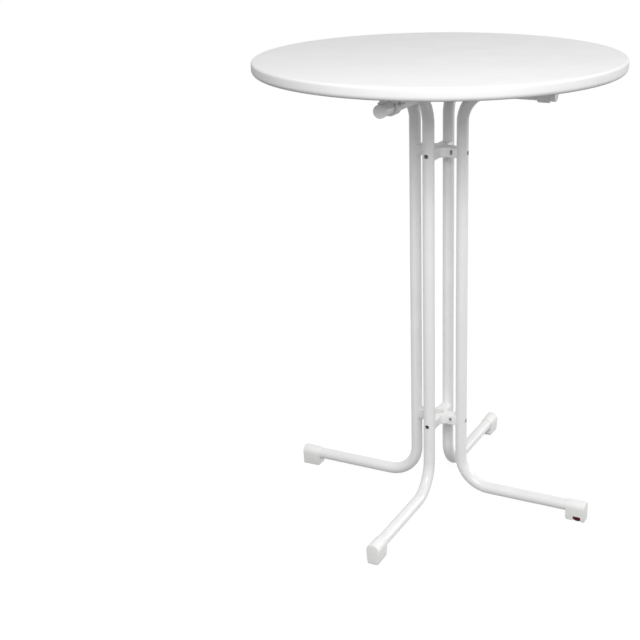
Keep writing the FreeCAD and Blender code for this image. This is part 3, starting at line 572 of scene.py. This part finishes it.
def bent_tube(name, arm_end):
    """A tube from the end of the foot to the end of the arm, along +X."""
    clear_desk()
    bpy.ops.mesh.primitive_circle_add(
        vertices=TUBE_FACETS, radius=TUBE_RADIUS, location=(FOOT_TUBE_END, 0, FOOT_AXIS),
        rotation=(0, QUARTER, 0))
    tube = open_up(name)
    push(x=BEND_END - FOOT_TUBE_END)
    bpy.ops.mesh.spin(steps=BEND_STEPS, angle=-QUARTER, center=(BEND_END, 0, LOW_BEND), axis=(0, 1, 0))
    level = LOW_BEND
    for stop in UPRIGHT_STOPS:
        push(z=stop - level)
        level = stop
    bpy.ops.mesh.spin(steps=BEND_STEPS, angle=-QUARTER, center=(BEND_END, 0, HIGH_BEND), axis=(0, 1, 0))
    push(x=arm_end - BEND_END)
    weld()
    bpy.ops.mesh.normals_make_consistent(inside=False)
    apply_modifier(tube, "SOLIDIFY", thickness=TUBE_WALL, offset=-1)
    outside, inside = UPRIGHT_REACH + 2 * TUBE_RADIUS, UPRIGHT_REACH - 2 * TUBE_RADIUS
    for height in CROSS_LEVELS.values():
        cut_away(tube, rod(ACCESS_RADIUS, (UPRIGHT_REACH, 0, height), (outside, 0, height)))
        cut_away(tube, rod(BOLT_HOLE_RADIUS, (inside, 0, height), (UPRIGHT_REACH, 0, height)))
    return tube


for side in SIDES:
    leg = turn_to(bent_tube(f"leg_{side}", ARM_ENDS[side]), side)
    set_down(leg, powder_coat, "table", [f"leg_tube_{side}"])
print("leg faces:", len(leg.data.polygons), "lowest", round(min(v.co.z for v in leg.data.vertices), 4))

# %% [markdown]
# Two one-piece crosses hold the uprights apart. Each is moulded in one shot, so seats, bores and nut
# windows are part of it, and their sizes follow from those of the tubes, screws and nuts.

# %% Cross sizes
CROSS_HALF_WIDTH = 13 * MM
CROSS_HALF_DEPTH = 12 * MM
CROSS_TIP = 52 * MM
CROSS_CORNER_ROUND = 16 * MM
CROSS_EDGE_ROUND = 1.5 * MM
CROSS_CORE_RADIUS = 12.5 * MM
TUBE_FIT = 0.1 * MM
TUBE_SEAT_RADIUS = TUBE_RADIUS + TUBE_FIT
SEAT_FACETS = 64
BORE_FACETS = 40
NUT_REACH = 36 * MM
NUT_HALF_WIDTH = 5 * MM
NUT_CORNER = NUT_HALF_WIDTH * 2 / math.sqrt(3)
NUT_HALF_THICKNESS = 3 * MM
NUT_ROOM = 0.5 * MM
BOLT_HOLE_END = 28.5 * MM
PAST = 5 * MM
FLAT_ANGLE = math.radians(1)
print("nut across corners:", round(2 * NUT_CORNER / MM, 2), "mm")

# %% [markdown]
# A square block grows four arms, its inner corners are filled with large rounds, and its upper and lower
# edges are softened as a mould needs. Then come the cuts, last so that they stay crisp: a round opening
# in the middle, a hollow seat for each tube, a bore for each screw and a side window for each nut.

# %% Crosses
def block(low, high):
    """A box between two corners."""
    clear_desk()
    low, high = Vector(low), Vector(high)
    bpy.ops.mesh.primitive_cube_add(size=1, location=(low + high) / 2, scale=high - low)
    bpy.ops.object.transform_apply(location=True, rotation=True, scale=True)
    return bpy.context.object


def cross_blank(name, level):
    """A star with four arms, at its level on the uprights."""
    half, low, high = CROSS_HALF_WIDTH, level - CROSS_HALF_DEPTH, level + CROSS_HALF_DEPTH
    cross = block((-half, -half, low), (half, half, high))
    open_up(name)
    pick("FACE", lambda face: not looks(face, z=1) and not looks(face, z=-1))
    bpy.ops.mesh.extrude_faces_move(TRANSFORM_OT_shrink_fatten={"value": CROSS_TIP - half})
    bpy.ops.mesh.select_all(action="SELECT")
    bpy.ops.mesh.dissolve_limited(angle_limit=FLAT_ANGLE)
    round_off(
        lambda edge: along(edge, 2) and near(abs(middle(edge).x), abs(middle(edge).y)),
        CROSS_CORNER_ROUND, steps=12)
    round_off(
        lambda edge: near(abs(middle(edge).z - level), CROSS_HALF_DEPTH) and sharp(edge),
        CROSS_EDGE_ROUND, steps=4)
    return cross


def moulded_cross(name, level):
    """A star with its opening, tube seats, bores and nut windows."""
    cross = cross_blank(name, level)
    below, above = level - CROSS_HALF_DEPTH - PAST, level + CROSS_HALF_DEPTH + PAST
    cut_away(cross, rod(CROSS_CORE_RADIUS, (0, 0, below), (0, 0, above), SEAT_FACETS))
    window_reach = NUT_HALF_THICKNESS + NUT_ROOM
    window_height = NUT_HALF_WIDTH + NUT_ROOM
    for side in SIDES:
        seat = rod(TUBE_SEAT_RADIUS, (UPRIGHT_REACH, 0, below), (UPRIGHT_REACH, 0, above), SEAT_FACETS)
        cut_away(cross, turn_to(seat, side))
        bore = rod(BOLT_HOLE_RADIUS, (BOLT_HOLE_END, 0, level), (UPRIGHT_REACH, 0, level), BORE_FACETS)
        cut_away(cross, turn_to(bore, side))
        window = block(
            (NUT_REACH - window_reach, -CROSS_HALF_WIDTH - PAST, level - window_height),
            (NUT_REACH + window_reach, NUT_CORNER + NUT_ROOM, level + window_height))
        cut_away(cross, turn_to(window, side))
    return cross


for name, level in CROSS_LEVELS.items():
    star = moulded_cross(f"star_{name}", level)
    set_down(star, polyamide, "table", [f"{name}_cross"])
print("cross faces:", len(star.data.polygons))

# %% [markdown]
# The frame holds screws and nuts in sets. One of a set is modelled on the side that points along +X and
# copied to the other sides, and the four are joined to one piece. A copy has its own mesh, so that
# turning it leaves the first as it is.

# %% Sets of fasteners
def turned_copy(piece, name, side):
    """A copy with a mesh of its own, turned to another side."""
    take(piece)
    bpy.ops.object.duplicate()
    copy = bpy.context.object
    copy.name = name
    copy.data.name = name
    return turn_to(copy, side)


def join(pieces):
    """Joins pieces to one, which is the first of them."""
    take(pieces[0])
    for piece in pieces[1:]:
        piece.select_set(True)
    bpy.ops.object.join()
    return pieces[0]


def set_of_four(master, name):
    """Copies a fastener to the other three sides and joins the four."""
    copies = [turned_copy(master, f"{name}_{side}", side) for side in SIDES if side != "right"]
    join([master, *copies])
    master.name = name
    master.data.name = name
    print(name, "set:", len(master.data.polygons), "faces")
    return master


# %% [markdown]
# Each cross is held by four machine screws, whose heads lie inside the tubes behind the access holes,
# and by four nuts in the side windows. One screw is turned up as a domed head with a hexagon socket, and
# one nut as a hexagon with its corners taken off.

# %% Cross screws and nuts
HEXAGON = 6
HEAD_FACETS = 40
SMALL_FACETS = 32
BOLT_RADIUS = 3 * MM
BOLT_LENGTH = 18.5 * MM
BOLT_HEAD_RADIUS = 4.75 * MM
BOLT_HEAD_HEIGHT = 3.6 * MM
BOLT_HEAD_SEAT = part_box("upper_cross_bolts")[1].x - BOLT_HEAD_HEIGHT
BOLT_DOME = 1.6 * MM
SOCKET_RADIUS = 2.3 * MM
SOCKET_DEPTH = 2 * MM
NUT_BEVEL = 0.6 * MM


def socket_screw(name, level):
    """A screw along +X with its head outward."""
    seat, top = BOLT_HEAD_SEAT, BOLT_HEAD_SEAT + BOLT_HEAD_HEIGHT
    screw = rod(BOLT_HEAD_RADIUS, (seat, 0, level), (top, 0, level), HEAD_FACETS)
    open_up(name)
    round_off(lambda edge: near(middle(edge).x, top), BOLT_DOME, steps=5)
    pick("FACE", lambda face: looks(face, x=-1))
    bpy.ops.mesh.inset(thickness=BOLT_HEAD_RADIUS - BOLT_RADIUS)
    push(x=-BOLT_LENGTH)
    cut_away(screw, rod(SOCKET_RADIUS, (top - SOCKET_DEPTH, 0, level), (top + PAST, 0, level), HEXAGON))
    return screw


def hexagon_nut(name, level):
    """A nut lying along +X with two flats level, to lie in its window."""
    start, end = NUT_REACH - NUT_HALF_THICKNESS, NUT_REACH + NUT_HALF_THICKNESS
    nut = rod(NUT_CORNER, (start, 0, level), (end, 0, level), HEXAGON)
    open_up(name)
    bpy.ops.transform.rotate(
        value=math.pi / HEXAGON, orient_axis="X", center_override=(NUT_REACH, 0, level))
    round_off(lambda edge: not along(edge, 0), NUT_BEVEL, steps=2)
    bore = rod(BOLT_RADIUS + TUBE_FIT, (start - PAST, 0, level), (end + PAST, 0, level), SMALL_FACETS)
    cut_away(nut, bore)
    return nut


for name, level in CROSS_LEVELS.items():
    bolts = set_of_four(socket_screw("bolt_blank", level), f"bolts_{name}")
    set_down(bolts, zinc_plate, "table", [f"{name}_cross_bolts"])
    nuts = set_of_four(hexagon_nut("nut_blank", level), f"nuts_{name}")
    set_down(nuts, zinc_plate, "table", [f"{name}_cross_nuts"])

# %% [markdown]
# A moulded cap closes each foot and stands on the floor. The right one also holds the leveller, whose
# place is read from its joint.

# %% Cap sizes
CAP_NECK = 337 * MM
CAP_END = 385 * MM
CAP_HALF_WIDTH = 16.5 * MM
CAP_TOP = 50 * MM
CAP_SPRING = CAP_TOP - CAP_HALF_WIDTH
CAP_DRAFT = 1.05 * MM
CAP_SOLE_HALF_WIDTH = 13.63 * MM
CAP_END_ROUND = 3 * MM
CAP_SOLE_ROUND = 1.5 * MM
CAP_NECK_ROUND = 0.8 * MM
CAP_HEEL_BEVEL = 4 * MM
JUST_PAST = 0.1 * MM
LEVELLER_REACH = next(joint for joint in frame["joints"] if joint["name"] == "level_turn")["pos_m"][0]
WHEEL_FACETS = 96
WHEEL_ROOM_RADIUS = 16.75 * MM
WHEEL_ROOM_ROOF = 12.7 * MM
STUD_BORE_RADIUS = 4 * MM
STUD_BORE_TOP = 39.7 * MM
print("leveller axis at", LEVELLER_REACH)

# %% [markdown]
# A cap is a block with a half-round back, whose sides lean in towards the sole, and it is a little
# narrower at its neck than at its flat end, as the mould's draft leaves it. The end and the sole get
# soft rounds, the heel a bevel, and the neck a bore for the tube. The right cap also gets a round room
# for the leveller's wheel, which breaks out at both sides.

# %% Foot caps
def leveller_rod(radius, bottom, top, facets):
    """A cylinder that stands on the leveller's axis."""
    return rod(radius, (LEVELLER_REACH, 0, bottom), (LEVELLER_REACH, 0, top), facets)


def draw_in(wanted, width, height, centre):
    """Narrows and lowers those points of the open piece that pass a test."""
    pick("VERT", wanted)
    bpy.ops.transform.resize(value=(1, width, height), center_override=centre)


def cap_blank(name):
    """A drafted block with a half-round back, on the foot that points along +X."""
    cap = block((CAP_NECK, -CAP_HALF_WIDTH, 0), (CAP_END, CAP_HALF_WIDTH, CAP_TOP))
    open_up(name)
    round_off(lambda edge: along(edge, 0) and near(middle(edge).z, CAP_TOP), CAP_HALF_WIDTH, steps=14)
    weld(HAIR)
    draw_in(lambda point: near(point.co.z, 0), CAP_SOLE_HALF_WIDTH / CAP_HALF_WIDTH, 1, (0, 0, 0))
    slimmer = 1 - CAP_DRAFT / CAP_HALF_WIDTH
    draw_in(
        lambda point: near(point.co.x, CAP_NECK) and point.co.z > CAP_SPRING / 2,
        slimmer, slimmer, (CAP_NECK, 0, CAP_SPRING))
    draw_in(
        lambda point: near(point.co.x, CAP_NECK) and near(point.co.z, 0),
        1 - CAP_DRAFT / CAP_SOLE_HALF_WIDTH, 1, (CAP_NECK, 0, 0))
    return cap


def moulded_cap(name, has_leveller):
    """A cap with soft edges, a bore for the tube and, on one foot, room for the leveller."""
    cap = cap_blank(name)
    heel_end = CAP_HEEL_BEVEL + JUST_PAST
    round_off(
        lambda edge: near(middle(edge).x, CAP_NECK) and near(middle(edge).z, 0),
        CAP_HEEL_BEVEL, steps=1)
    round_off(
        lambda edge: near(middle(edge).x, CAP_END) and middle(edge).z > JUST_PAST,
        CAP_END_ROUND, steps=6)
    round_off(
        lambda edge: near(middle(edge).z, 0) and sharp(edge, least=0.1)
        and middle(edge).x > CAP_NECK + heel_end,
        CAP_SOLE_ROUND, steps=4)
    round_off(
        lambda edge: near(middle(edge).x, CAP_NECK) and middle(edge).z > heel_end,
        CAP_NECK_ROUND, steps=3)
    socket_start = CAP_NECK - PAST
    cut_away(cap, rod(
        TUBE_SEAT_RADIUS, (socket_start, 0, FOOT_AXIS), (FOOT_TUBE_END, 0, FOOT_AXIS), SEAT_FACETS))
    if has_leveller:
        cut_away(cap, leveller_rod(WHEEL_ROOM_RADIUS, -PAST, WHEEL_ROOM_ROOF, WHEEL_FACETS))
        cut_away(cap, leveller_rod(STUD_BORE_RADIUS, 0, STUD_BORE_TOP, SMALL_FACETS))
    return cap


for side in SIDES:
    cap = turn_to(moulded_cap(f"cap_{side}", has_leveller=(side == "right")), side)
    set_down(cap, polyamide, "table", [f"foot_cap_{side}"])
print("cap faces:", len(cap.data.polygons))

# %% [markdown]
# Plugs close the arms under the plate. A short cylinder, a hair wider than the tube, gets a rounded rim,
# and its back is inset and drawn out to the spigot that grips inside the tube.

# %% Arm plugs
PLUG_HEAD = 9 * MM
PLUG_SPIGOT = 14 * MM
PLUG_ROUND = 2 * MM
PLUG_LIP = 0.5 * MM
PLUG_RADIUS = TUBE_RADIUS + PLUG_LIP
PLUG_SPIGOT_RADIUS = TUBE_RADIUS - TUBE_WALL - TUBE_FIT


def arm_plug(name, arm_end):
    """A plug at the end of an arm along +X."""
    front = arm_end + PLUG_HEAD
    plug = rod(PLUG_RADIUS, (arm_end, 0, ARM_AXIS), (front, 0, ARM_AXIS), TUBE_FACETS)
    open_up(name)
    round_off(lambda edge: near(middle(edge).x, front), PLUG_ROUND, steps=6)
    pick("FACE", lambda face: looks(face, x=-1))
    bpy.ops.mesh.inset(thickness=PLUG_RADIUS - PLUG_SPIGOT_RADIUS)
    push(x=-PLUG_SPIGOT)
    return plug


for side in SIDES:
    plug = turn_to(arm_plug(f"plug_{side}", ARM_ENDS[side]), side)
    set_down(plug, polyamide, "table", [f"arm_plug_{side}"])
print("plug faces:", len(plug.data.polygons))

# %% [markdown]
# A clamp holds each arm to the plate: a saddle above the tube, with a flange, a stem and two ribbed
# screw bosses, and a U-shaped strap below it. Each block is softened at its edges before it is welded
# on, as a bevel over the finished shape would be stopped by the short edges at the welds.

# %% Clamp blanks
CLAMP_MIDDLE = sum(corner.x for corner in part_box("clamp_saddle_right")) / 2
CLAMP_HALF_LENGTH = 13 * MM
CLAMP_HALF_WIDTH = 28.5 * MM
PARTING_RISE = 9 * MM
CLAMP_PARTING = ARM_AXIS + PARTING_RISE
CLAMP_HALF_SPLIT = 0.3 * MM
CLAMP_CORNER = 5 * MM
CLAMP_SOFT_EDGE = 0.8 * MM
CLAMP_SOFT_STEPS = 3
SCREW_ACROSS = 23 * MM
SCREW_HOLE_RADIUS = 2.6 * MM


def across(half_length, half_width, bottom, top):
    """A block across the arm, centred on the clamp."""
    return block(
        (CLAMP_MIDDLE - half_length, -half_width, bottom), (CLAMP_MIDDLE + half_length, half_width, top))


def soften(piece, wanted, radius=CLAMP_SOFT_EDGE, steps=CLAMP_SOFT_STEPS):
    """Rounds the edges of a block that pass a test."""
    edit(piece)
    round_off(wanted, radius, steps)
    clear_desk()
    return piece


def soft_flange(bottom, top):
    """A screw flange with round corners and soft edges."""
    flange = across(CLAMP_HALF_LENGTH, CLAMP_HALF_WIDTH, bottom, top)
    soften(flange, lambda edge: along(edge, 2), CLAMP_CORNER, steps=6)
    return soften(flange, sharp)


def cut_screw_holes(piece, bottom, top):
    """Drills the two screw holes of a clamp half."""
    for hand in (-SCREW_ACROSS, SCREW_ACROSS):
        start, end = (CLAMP_MIDDLE, hand, bottom), (CLAMP_MIDDLE, hand, top)
        cut_away(piece, rod(SCREW_HOLE_RADIUS, start, end, SMALL_FACETS))
    return piece


print("clamp middle", round(CLAMP_MIDDLE, 4), "parting", round(CLAMP_PARTING, 4))

# %% [markdown]
# The saddle is welded up from a flange under the plate, a stem, a rib across and two bosses. The tube's
# seat and the screw holes are cut last, through all of them at once.

# %% Clamp saddle
SADDLE_FLANGE = 6 * MM
SADDLE_WALL = 5 * MM
SADDLE_STEM = TUBE_SEAT_RADIUS + SADDLE_WALL
SADDLE_HALF_RIB = 2 * MM
BOSS_RADIUS = 5.1 * MM


def clamp_saddle(name):
    """The upper half, from the plate down to the parting of the clamp."""
    foot, flange_bottom = CLAMP_PARTING + CLAMP_HALF_SPLIT, FIELD_UNDERSIDE - SADDLE_FLANGE
    into_flange = flange_bottom + SADDLE_FLANGE / 2
    saddle = soft_flange(flange_bottom, FIELD_UNDERSIDE)
    saddle.name = name
    stem = across(CLAMP_HALF_LENGTH, SADDLE_STEM, foot, into_flange)
    soften(stem, lambda edge: middle(edge).z < into_flange - JUST_PAST)
    cut_away(saddle, stem, "UNION")
    cut_away(saddle, across(SADDLE_HALF_RIB, SCREW_ACROSS, foot, into_flange), "UNION")
    for hand in (-SCREW_ACROSS, SCREW_ACROSS):
        boss = rod(BOSS_RADIUS, (CLAMP_MIDDLE, hand, foot), (CLAMP_MIDDLE, hand, into_flange))
        soften(boss, lambda edge: near(middle(edge).z, foot))
        cut_away(saddle, boss, "UNION")
    start = CLAMP_MIDDLE - CLAMP_HALF_LENGTH - PAST
    end = CLAMP_MIDDLE + CLAMP_HALF_LENGTH + PAST
    cut_away(saddle, rod(TUBE_SEAT_RADIUS, (start, 0, ARM_AXIS), (end, 0, ARM_AXIS), SEAT_FACETS))
    return cut_screw_holes(saddle, foot - PAST, FIELD_UNDERSIDE + PAST)


saddle_master = clamp_saddle("saddle_blank")
print("saddle faces:", len(saddle_master.data.polygons))

# %% [markdown]
# The strap is a trough, a block whose two lower edges are rounded until they meet. A flange is welded
# across it, and a smaller trough cuts the room for the tube. Both halves are then copied to the arms.

# %% Clamp strap, and the clamps set down
STRAP_WALL = 4 * MM
STRAP_RADIUS = TUBE_SEAT_RADIUS + STRAP_WALL
STRAP_FLANGE = 5 * MM


def trough(half_length, radius, top):
    """A block with a half-round bottom about the arm's axis."""
    piece = across(half_length, radius, ARM_AXIS - radius, top)
    edit(piece)
    round_off(lambda edge: along(edge, 0) and middle(edge).z < ARM_AXIS, radius, steps=16)
    weld(HAIR)
    clear_desk()
    return piece


def clamp_strap(name):
    """The lower half, a U with a flange at the top of each cheek."""
    top = CLAMP_PARTING - CLAMP_HALF_SPLIT
    strap = trough(CLAMP_HALF_LENGTH, STRAP_RADIUS, top)
    strap.name = name
    soften(strap, sharp)
    cut_away(strap, soft_flange(top - STRAP_FLANGE, top), "UNION")
    cut_away(strap, trough(CLAMP_HALF_LENGTH + PAST, TUBE_SEAT_RADIUS, top + PAST))
    return cut_screw_holes(strap, top - STRAP_FLANGE - PAST, top + PAST)


strap_master = clamp_strap("strap_blank")
for side in SIDES:
    saddle = turned_copy(saddle_master, f"saddle_{side}", side)
    set_down(saddle, polyamide, "table", [f"clamp_saddle_{side}"])
    strap = turned_copy(strap_master, f"strap_{side}", side)
    set_down(strap, polyamide, "table", [f"clamp_strap_{side}"])
for master in (saddle_master, strap_master):
    bpy.data.objects.remove(master)
print("strap faces:", len(strap.data.polygons))

# %% [markdown]
# Eight long pan-head screws draw the clamps together and bite into the plate. One head is domed and gets
# a cross recess from two crossed blades, its shank is drawn up out of the flat side, and the screw is
# copied.

# %% Clamp screws
CLAMP_SCREW_RADIUS = 2.5 * MM
CLAMP_SCREW_HEAD = 4.5 * MM
CLAMP_SCREW_HEAD_HEIGHT = 3 * MM
CLAMP_SCREW_DOME = 1.8 * MM
CLAMP_SCREW_BITE = 13 * MM
RECESS_HALF_LENGTH = 2.3 * MM
RECESS_HALF_WIDTH = 0.55 * MM
RECESS_DEPTH = 1.7 * MM
SCREW_SEAT = CLAMP_PARTING - CLAMP_HALF_SPLIT - STRAP_FLANGE


def pan_head_screw(name, hand):
    """A screw that points up, on one side of the clamp."""
    bottom = SCREW_SEAT - CLAMP_SCREW_HEAD_HEIGHT
    screw = rod(
        CLAMP_SCREW_HEAD, (CLAMP_MIDDLE, hand, bottom), (CLAMP_MIDDLE, hand, SCREW_SEAT), HEAD_FACETS)
    open_up(name)
    round_off(lambda edge: near(middle(edge).z, bottom), CLAMP_SCREW_DOME, steps=6)
    pick("FACE", lambda face: looks(face, z=1))
    bpy.ops.mesh.inset(thickness=CLAMP_SCREW_HEAD - CLAMP_SCREW_RADIUS)
    push(z=FIELD_UNDERSIDE + CLAMP_SCREW_BITE - SCREW_SEAT)
    blades = ((RECESS_HALF_LENGTH, RECESS_HALF_WIDTH), (RECESS_HALF_WIDTH, RECESS_HALF_LENGTH))
    for half_x, half_y in blades:
        blade = block((CLAMP_MIDDLE - half_x, hand - half_y, bottom - PAST),
                      (CLAMP_MIDDLE + half_x, hand + half_y, bottom + RECESS_DEPTH))
        cut_away(screw, blade)
    return screw


pair = join([pan_head_screw("screw_blank", hand) for hand in (-SCREW_ACROSS, SCREW_ACROSS)])
clamp_screw_set = set_of_four(pair, "clamp_screw_set")
set_down(clamp_screw_set, zinc_plate, "table", ["clamp_screws"])

# %% [markdown]
# The leveller sits in the right cap. A thumb wheel with gripping flutes turns a threaded stud in the cap
# and pushes a small glide to the floor. The wheel is a disc that is cut by a ring of round flutes and
# bored for stud and pin, and a bevel then softens what a finger touches.

# %% Thumb wheel
WHEEL_RADIUS = 15.75 * MM
WHEEL_BOTTOM, WHEEL_TOP = (corner.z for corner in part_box("level_wheel"))
WHEEL_SOFT_EDGE = 0.8 * MM
WHEEL_EDGE_ANGLE = math.radians(60)
FLUTE_COUNT = 20
FLUTE_FACETS = 16
FLUTE_RADIUS = 2 * MM
FLUTE_REACH = WHEEL_RADIUS + FLUTE_RADIUS / 2
PIN_RADIUS = 2.5 * MM
PIN_LENGTH = 4 * MM
STUD_RADIUS = 3.9 * MM
STUD_BOTTOM, STUD_TOP = (corner.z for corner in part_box("level_stud"))

wheel = leveller_rod(WHEEL_RADIUS, WHEEL_BOTTOM, WHEEL_TOP, WHEEL_FACETS)
flutes = []
for index in range(FLUTE_COUNT):
    angle = 2 * math.pi * index / FLUTE_COUNT
    x, y = LEVELLER_REACH + FLUTE_REACH * math.cos(angle), FLUTE_REACH * math.sin(angle)
    flutes.append(rod(FLUTE_RADIUS, (x, y, WHEEL_BOTTOM - PAST), (x, y, WHEEL_TOP + PAST), FLUTE_FACETS))
cut_away(wheel, join(flutes))
pin_room_top = WHEEL_BOTTOM + PIN_LENGTH
cut_away(wheel, leveller_rod(PIN_RADIUS + TUBE_FIT, WHEEL_BOTTOM - PAST, pin_room_top, ROD_FACETS))
cut_away(wheel, leveller_rod(STUD_RADIUS + TUBE_FIT / 2, STUD_BOTTOM, WHEEL_TOP + PAST, ROD_FACETS))
apply_modifier(wheel, "BEVEL", width=WHEEL_SOFT_EDGE, segments=3, limit_method="ANGLE",
               angle_limit=WHEEL_EDGE_ANGLE, use_clamp_overlap=True)
wheel.name = "thumb_wheel"
set_down(wheel, red_nylon, "level_screw", ["level_wheel"])
print("wheel faces:", len(wheel.data.polygons))

# %% [markdown]
# The stud's thread is wound by a screw modifier about an empty on the stud's axis. Its profile is one
# tooth: a square set on its corner and drawn in to the thread's depth, whose inner corner is taken off.
# The two open ends are then closed.

# %% Threaded stud
THREAD_PITCH = 1.25 * MM
THREAD_DEPTH = 0.65 * MM
THREAD_STEPS = 32
THREAD_ROOT = LEVELLER_REACH + STUD_RADIUS - THREAD_DEPTH

clear_desk()
tooth_middle = (THREAD_ROOT, 0, STUD_BOTTOM + THREAD_PITCH / 2)
bpy.ops.mesh.primitive_circle_add(
    vertices=4, radius=THREAD_PITCH / 2, location=tooth_middle, rotation=(QUARTER, 0, 0))
stud = open_up("threaded_stud")
bpy.ops.transform.resize(value=(2 * THREAD_DEPTH / THREAD_PITCH, 1, 1), center_override=tooth_middle)
pick("VERT", lambda point: point.co.x < THREAD_ROOT - HAIR)
bpy.ops.mesh.delete(type="VERT")
clear_desk()
turns = int((STUD_TOP - STUD_BOTTOM) / THREAD_PITCH) - 1
axis = bpy.data.objects.new("stud_axis", None)
axis.location = (LEVELLER_REACH, 0, STUD_BOTTOM)
bpy.context.scene.collection.objects.link(axis)
apply_modifier(stud, "SCREW", object=axis, axis="Z", angle=2 * math.pi, screw_offset=THREAD_PITCH,
               iterations=turns, steps=THREAD_STEPS, render_steps=THREAD_STEPS, use_merge_vertices=True)
bpy.data.objects.remove(axis)
edit(stud)
bpy.ops.mesh.select_mode(type="EDGE")
bpy.ops.mesh.select_all(action="DESELECT")
bpy.ops.mesh.select_non_manifold()
bpy.ops.mesh.edge_face_add()
set_down(stud, zinc_plate, "level_screw", ["level_stud"], smooth_below=25)
print("stud turns:", turns, "height", round(max(v.co.z for v in stud.data.vertices), 4))

# %% [markdown]
# The glide is a flat disc that stands on the floor while the wheel turns on its pin. Its lower rim is
# rounded so that it slides, and the pin is drawn up out of its inset top.

# %% Floor glide
GLIDE_RADIUS = 12 * MM
GLIDE_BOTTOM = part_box("level_pad")[0].z
GLIDE_THICKNESS = 3 * MM
GLIDE_ROUND = 0.8 * MM

glide = leveller_rod(GLIDE_RADIUS, GLIDE_BOTTOM, GLIDE_BOTTOM + GLIDE_THICKNESS, SEAT_FACETS)
open_up("floor_glide")
round_off(lambda edge: near(middle(edge).z, GLIDE_BOTTOM), GLIDE_ROUND, steps=4)
pick("FACE", lambda face: looks(face, z=1))
bpy.ops.mesh.inset(thickness=GLIDE_RADIUS - PIN_RADIUS)
push(z=PIN_LENGTH)
set_down(glide, dark_glide, "level_glide", ["level_pad"])
print("glide faces:", len(glide.data.polygons))

# %% [markdown]
# The studio has a pale paper floor that runs to the horizon. Seen by the camera, or in a shiny surface,
# it glows white, while a part of it stays plain paper that takes the table's soft shadow. To all other
# rays it is a dim floor, so that little light comes up under the plate. It lies a hair below the soles.

# %% Paper floor
FLOOR_SIDE = 40
FLOOR_LEVEL = -0.2 * MM
FLOOR_GLOW_SHARE = 0.8
FLOOR_GLOW_STRENGTH = 1.1
FLOOR_TONE = 0.2
FLOOR_TONE_SEEN = 0.95
PAPER_ROUGHNESS = 0.9


def seen_directly(owner):
    """An output that is 1 for rays from the camera, off gloss or through glass."""
    path = add_node(owner, "ShaderNodeLightPath").outputs
    either = add_node(owner, "ShaderNodeMath", {"operation": "MAXIMUM"}, {
        0: path["Is Camera Ray"], 1: path["Is Glossy Ray"]})
    return add_node(owner, "ShaderNodeMath", {"operation": "MAXIMUM"}, {
        0: either.outputs["Value"], 1: path["Is Transmission Ray"]}).outputs["Value"]


clear_desk()
bpy.ops.mesh.primitive_plane_add(size=FLOOR_SIDE, location=(0, 0, FLOOR_LEVEL))
floor = bpy.context.object
floor.name = "studio_floor"
paper = bpy.data.materials.new("white_paper")
paper.use_nodes = True
paper_shader = paper.node_tree.nodes["Principled BSDF"]
paper_shader.inputs["Roughness"].default_value = PAPER_ROUGHNESS
glow = add_node(paper, "ShaderNodeEmission", inputs={"Strength": FLOOR_GLOW_STRENGTH})
seen_floor = seen_directly(paper)
share = add_node(paper, "ShaderNodeMapRange", inputs={"Value": seen_floor, "To Max": FLOOR_GLOW_SHARE})
tone = add_node(paper, "ShaderNodeMapRange", inputs={
    "Value": seen_floor, "To Min": FLOOR_TONE, "To Max": FLOOR_TONE_SEEN})
paper.node_tree.links.new(tone.outputs["Result"], paper_shader.inputs["Base Color"])
blend = add_node(paper, "ShaderNodeMixShader", inputs={
    "Fac": share.outputs["Result"], 1: paper_shader.outputs["BSDF"], 2: glow.outputs["Emission"]})
surface = paper.node_tree.nodes["Material Output"].inputs["Surface"]
paper.node_tree.links.new(blend.outputs["Shader"], surface)
floor.data.materials.append(paper)
print("floor side:", FLOOR_SIDE, "level:", FLOOR_LEVEL)

# %% [markdown]
# An even sky fills the shadows. It too is white where it is seen, and dimmer as a light.

# %% Sky
SKY_STRENGTH = 0.61

sky = bpy.data.worlds.new("studio_sky")
sky.use_nodes = True
bpy.context.scene.world = sky
sky_light = sky.node_tree.nodes["Background"]
sky_light.inputs["Color"].default_value = (1, 1, 1, 1)
strength = add_node(sky, "ShaderNodeMapRange", inputs={
    "Value": seen_directly(sky), "To Min": SKY_STRENGTH, "To Max": 1.0})
sky.node_tree.links.new(strength.outputs["Result"], sky_light.inputs["Strength"])
print("sky strength:", SKY_STRENGTH)

# %% [markdown]
# Two lamps shape the table: a soft key close to the camera's line and above it, and a wide lamp low at
# the right, a little behind the table, which draws a bright edge down each tube.

# %% Lamps
def soft_lamp(name, bearing, rise, reach, side, power):
    """A square lamp aimed at the table; its bearing is counted to the right of the camera's."""
    clear_desk()
    aim = Vector((0, 0, PLATE_TOP / 2))
    heading = CAMERA_AZIMUTH + math.radians(bearing)
    tilt = math.radians(rise)
    place = aim + reach * Vector((
        math.sin(heading) * math.cos(tilt), -math.cos(heading) * math.cos(tilt), math.sin(tilt)))
    look = (aim - place).to_track_quat("-Z", "Y")
    bpy.ops.object.light_add(type="AREA", location=place, rotation=look.to_euler())
    lamp = bpy.context.object
    lamp.name = name
    lamp.data.size = side
    lamp.data.energy = power
    lamp.visible_camera = False
    print(name, "at", [round(value, 2) for value in place])


soft_lamp("key_lamp", bearing=5, rise=36, reach=2.9, side=1.2, power=46)
soft_lamp("right_lamp", bearing=116, rise=12, reach=4.0, side=1.8, power=44)
bpy.context.scene.view_settings.view_transform = "Standard"
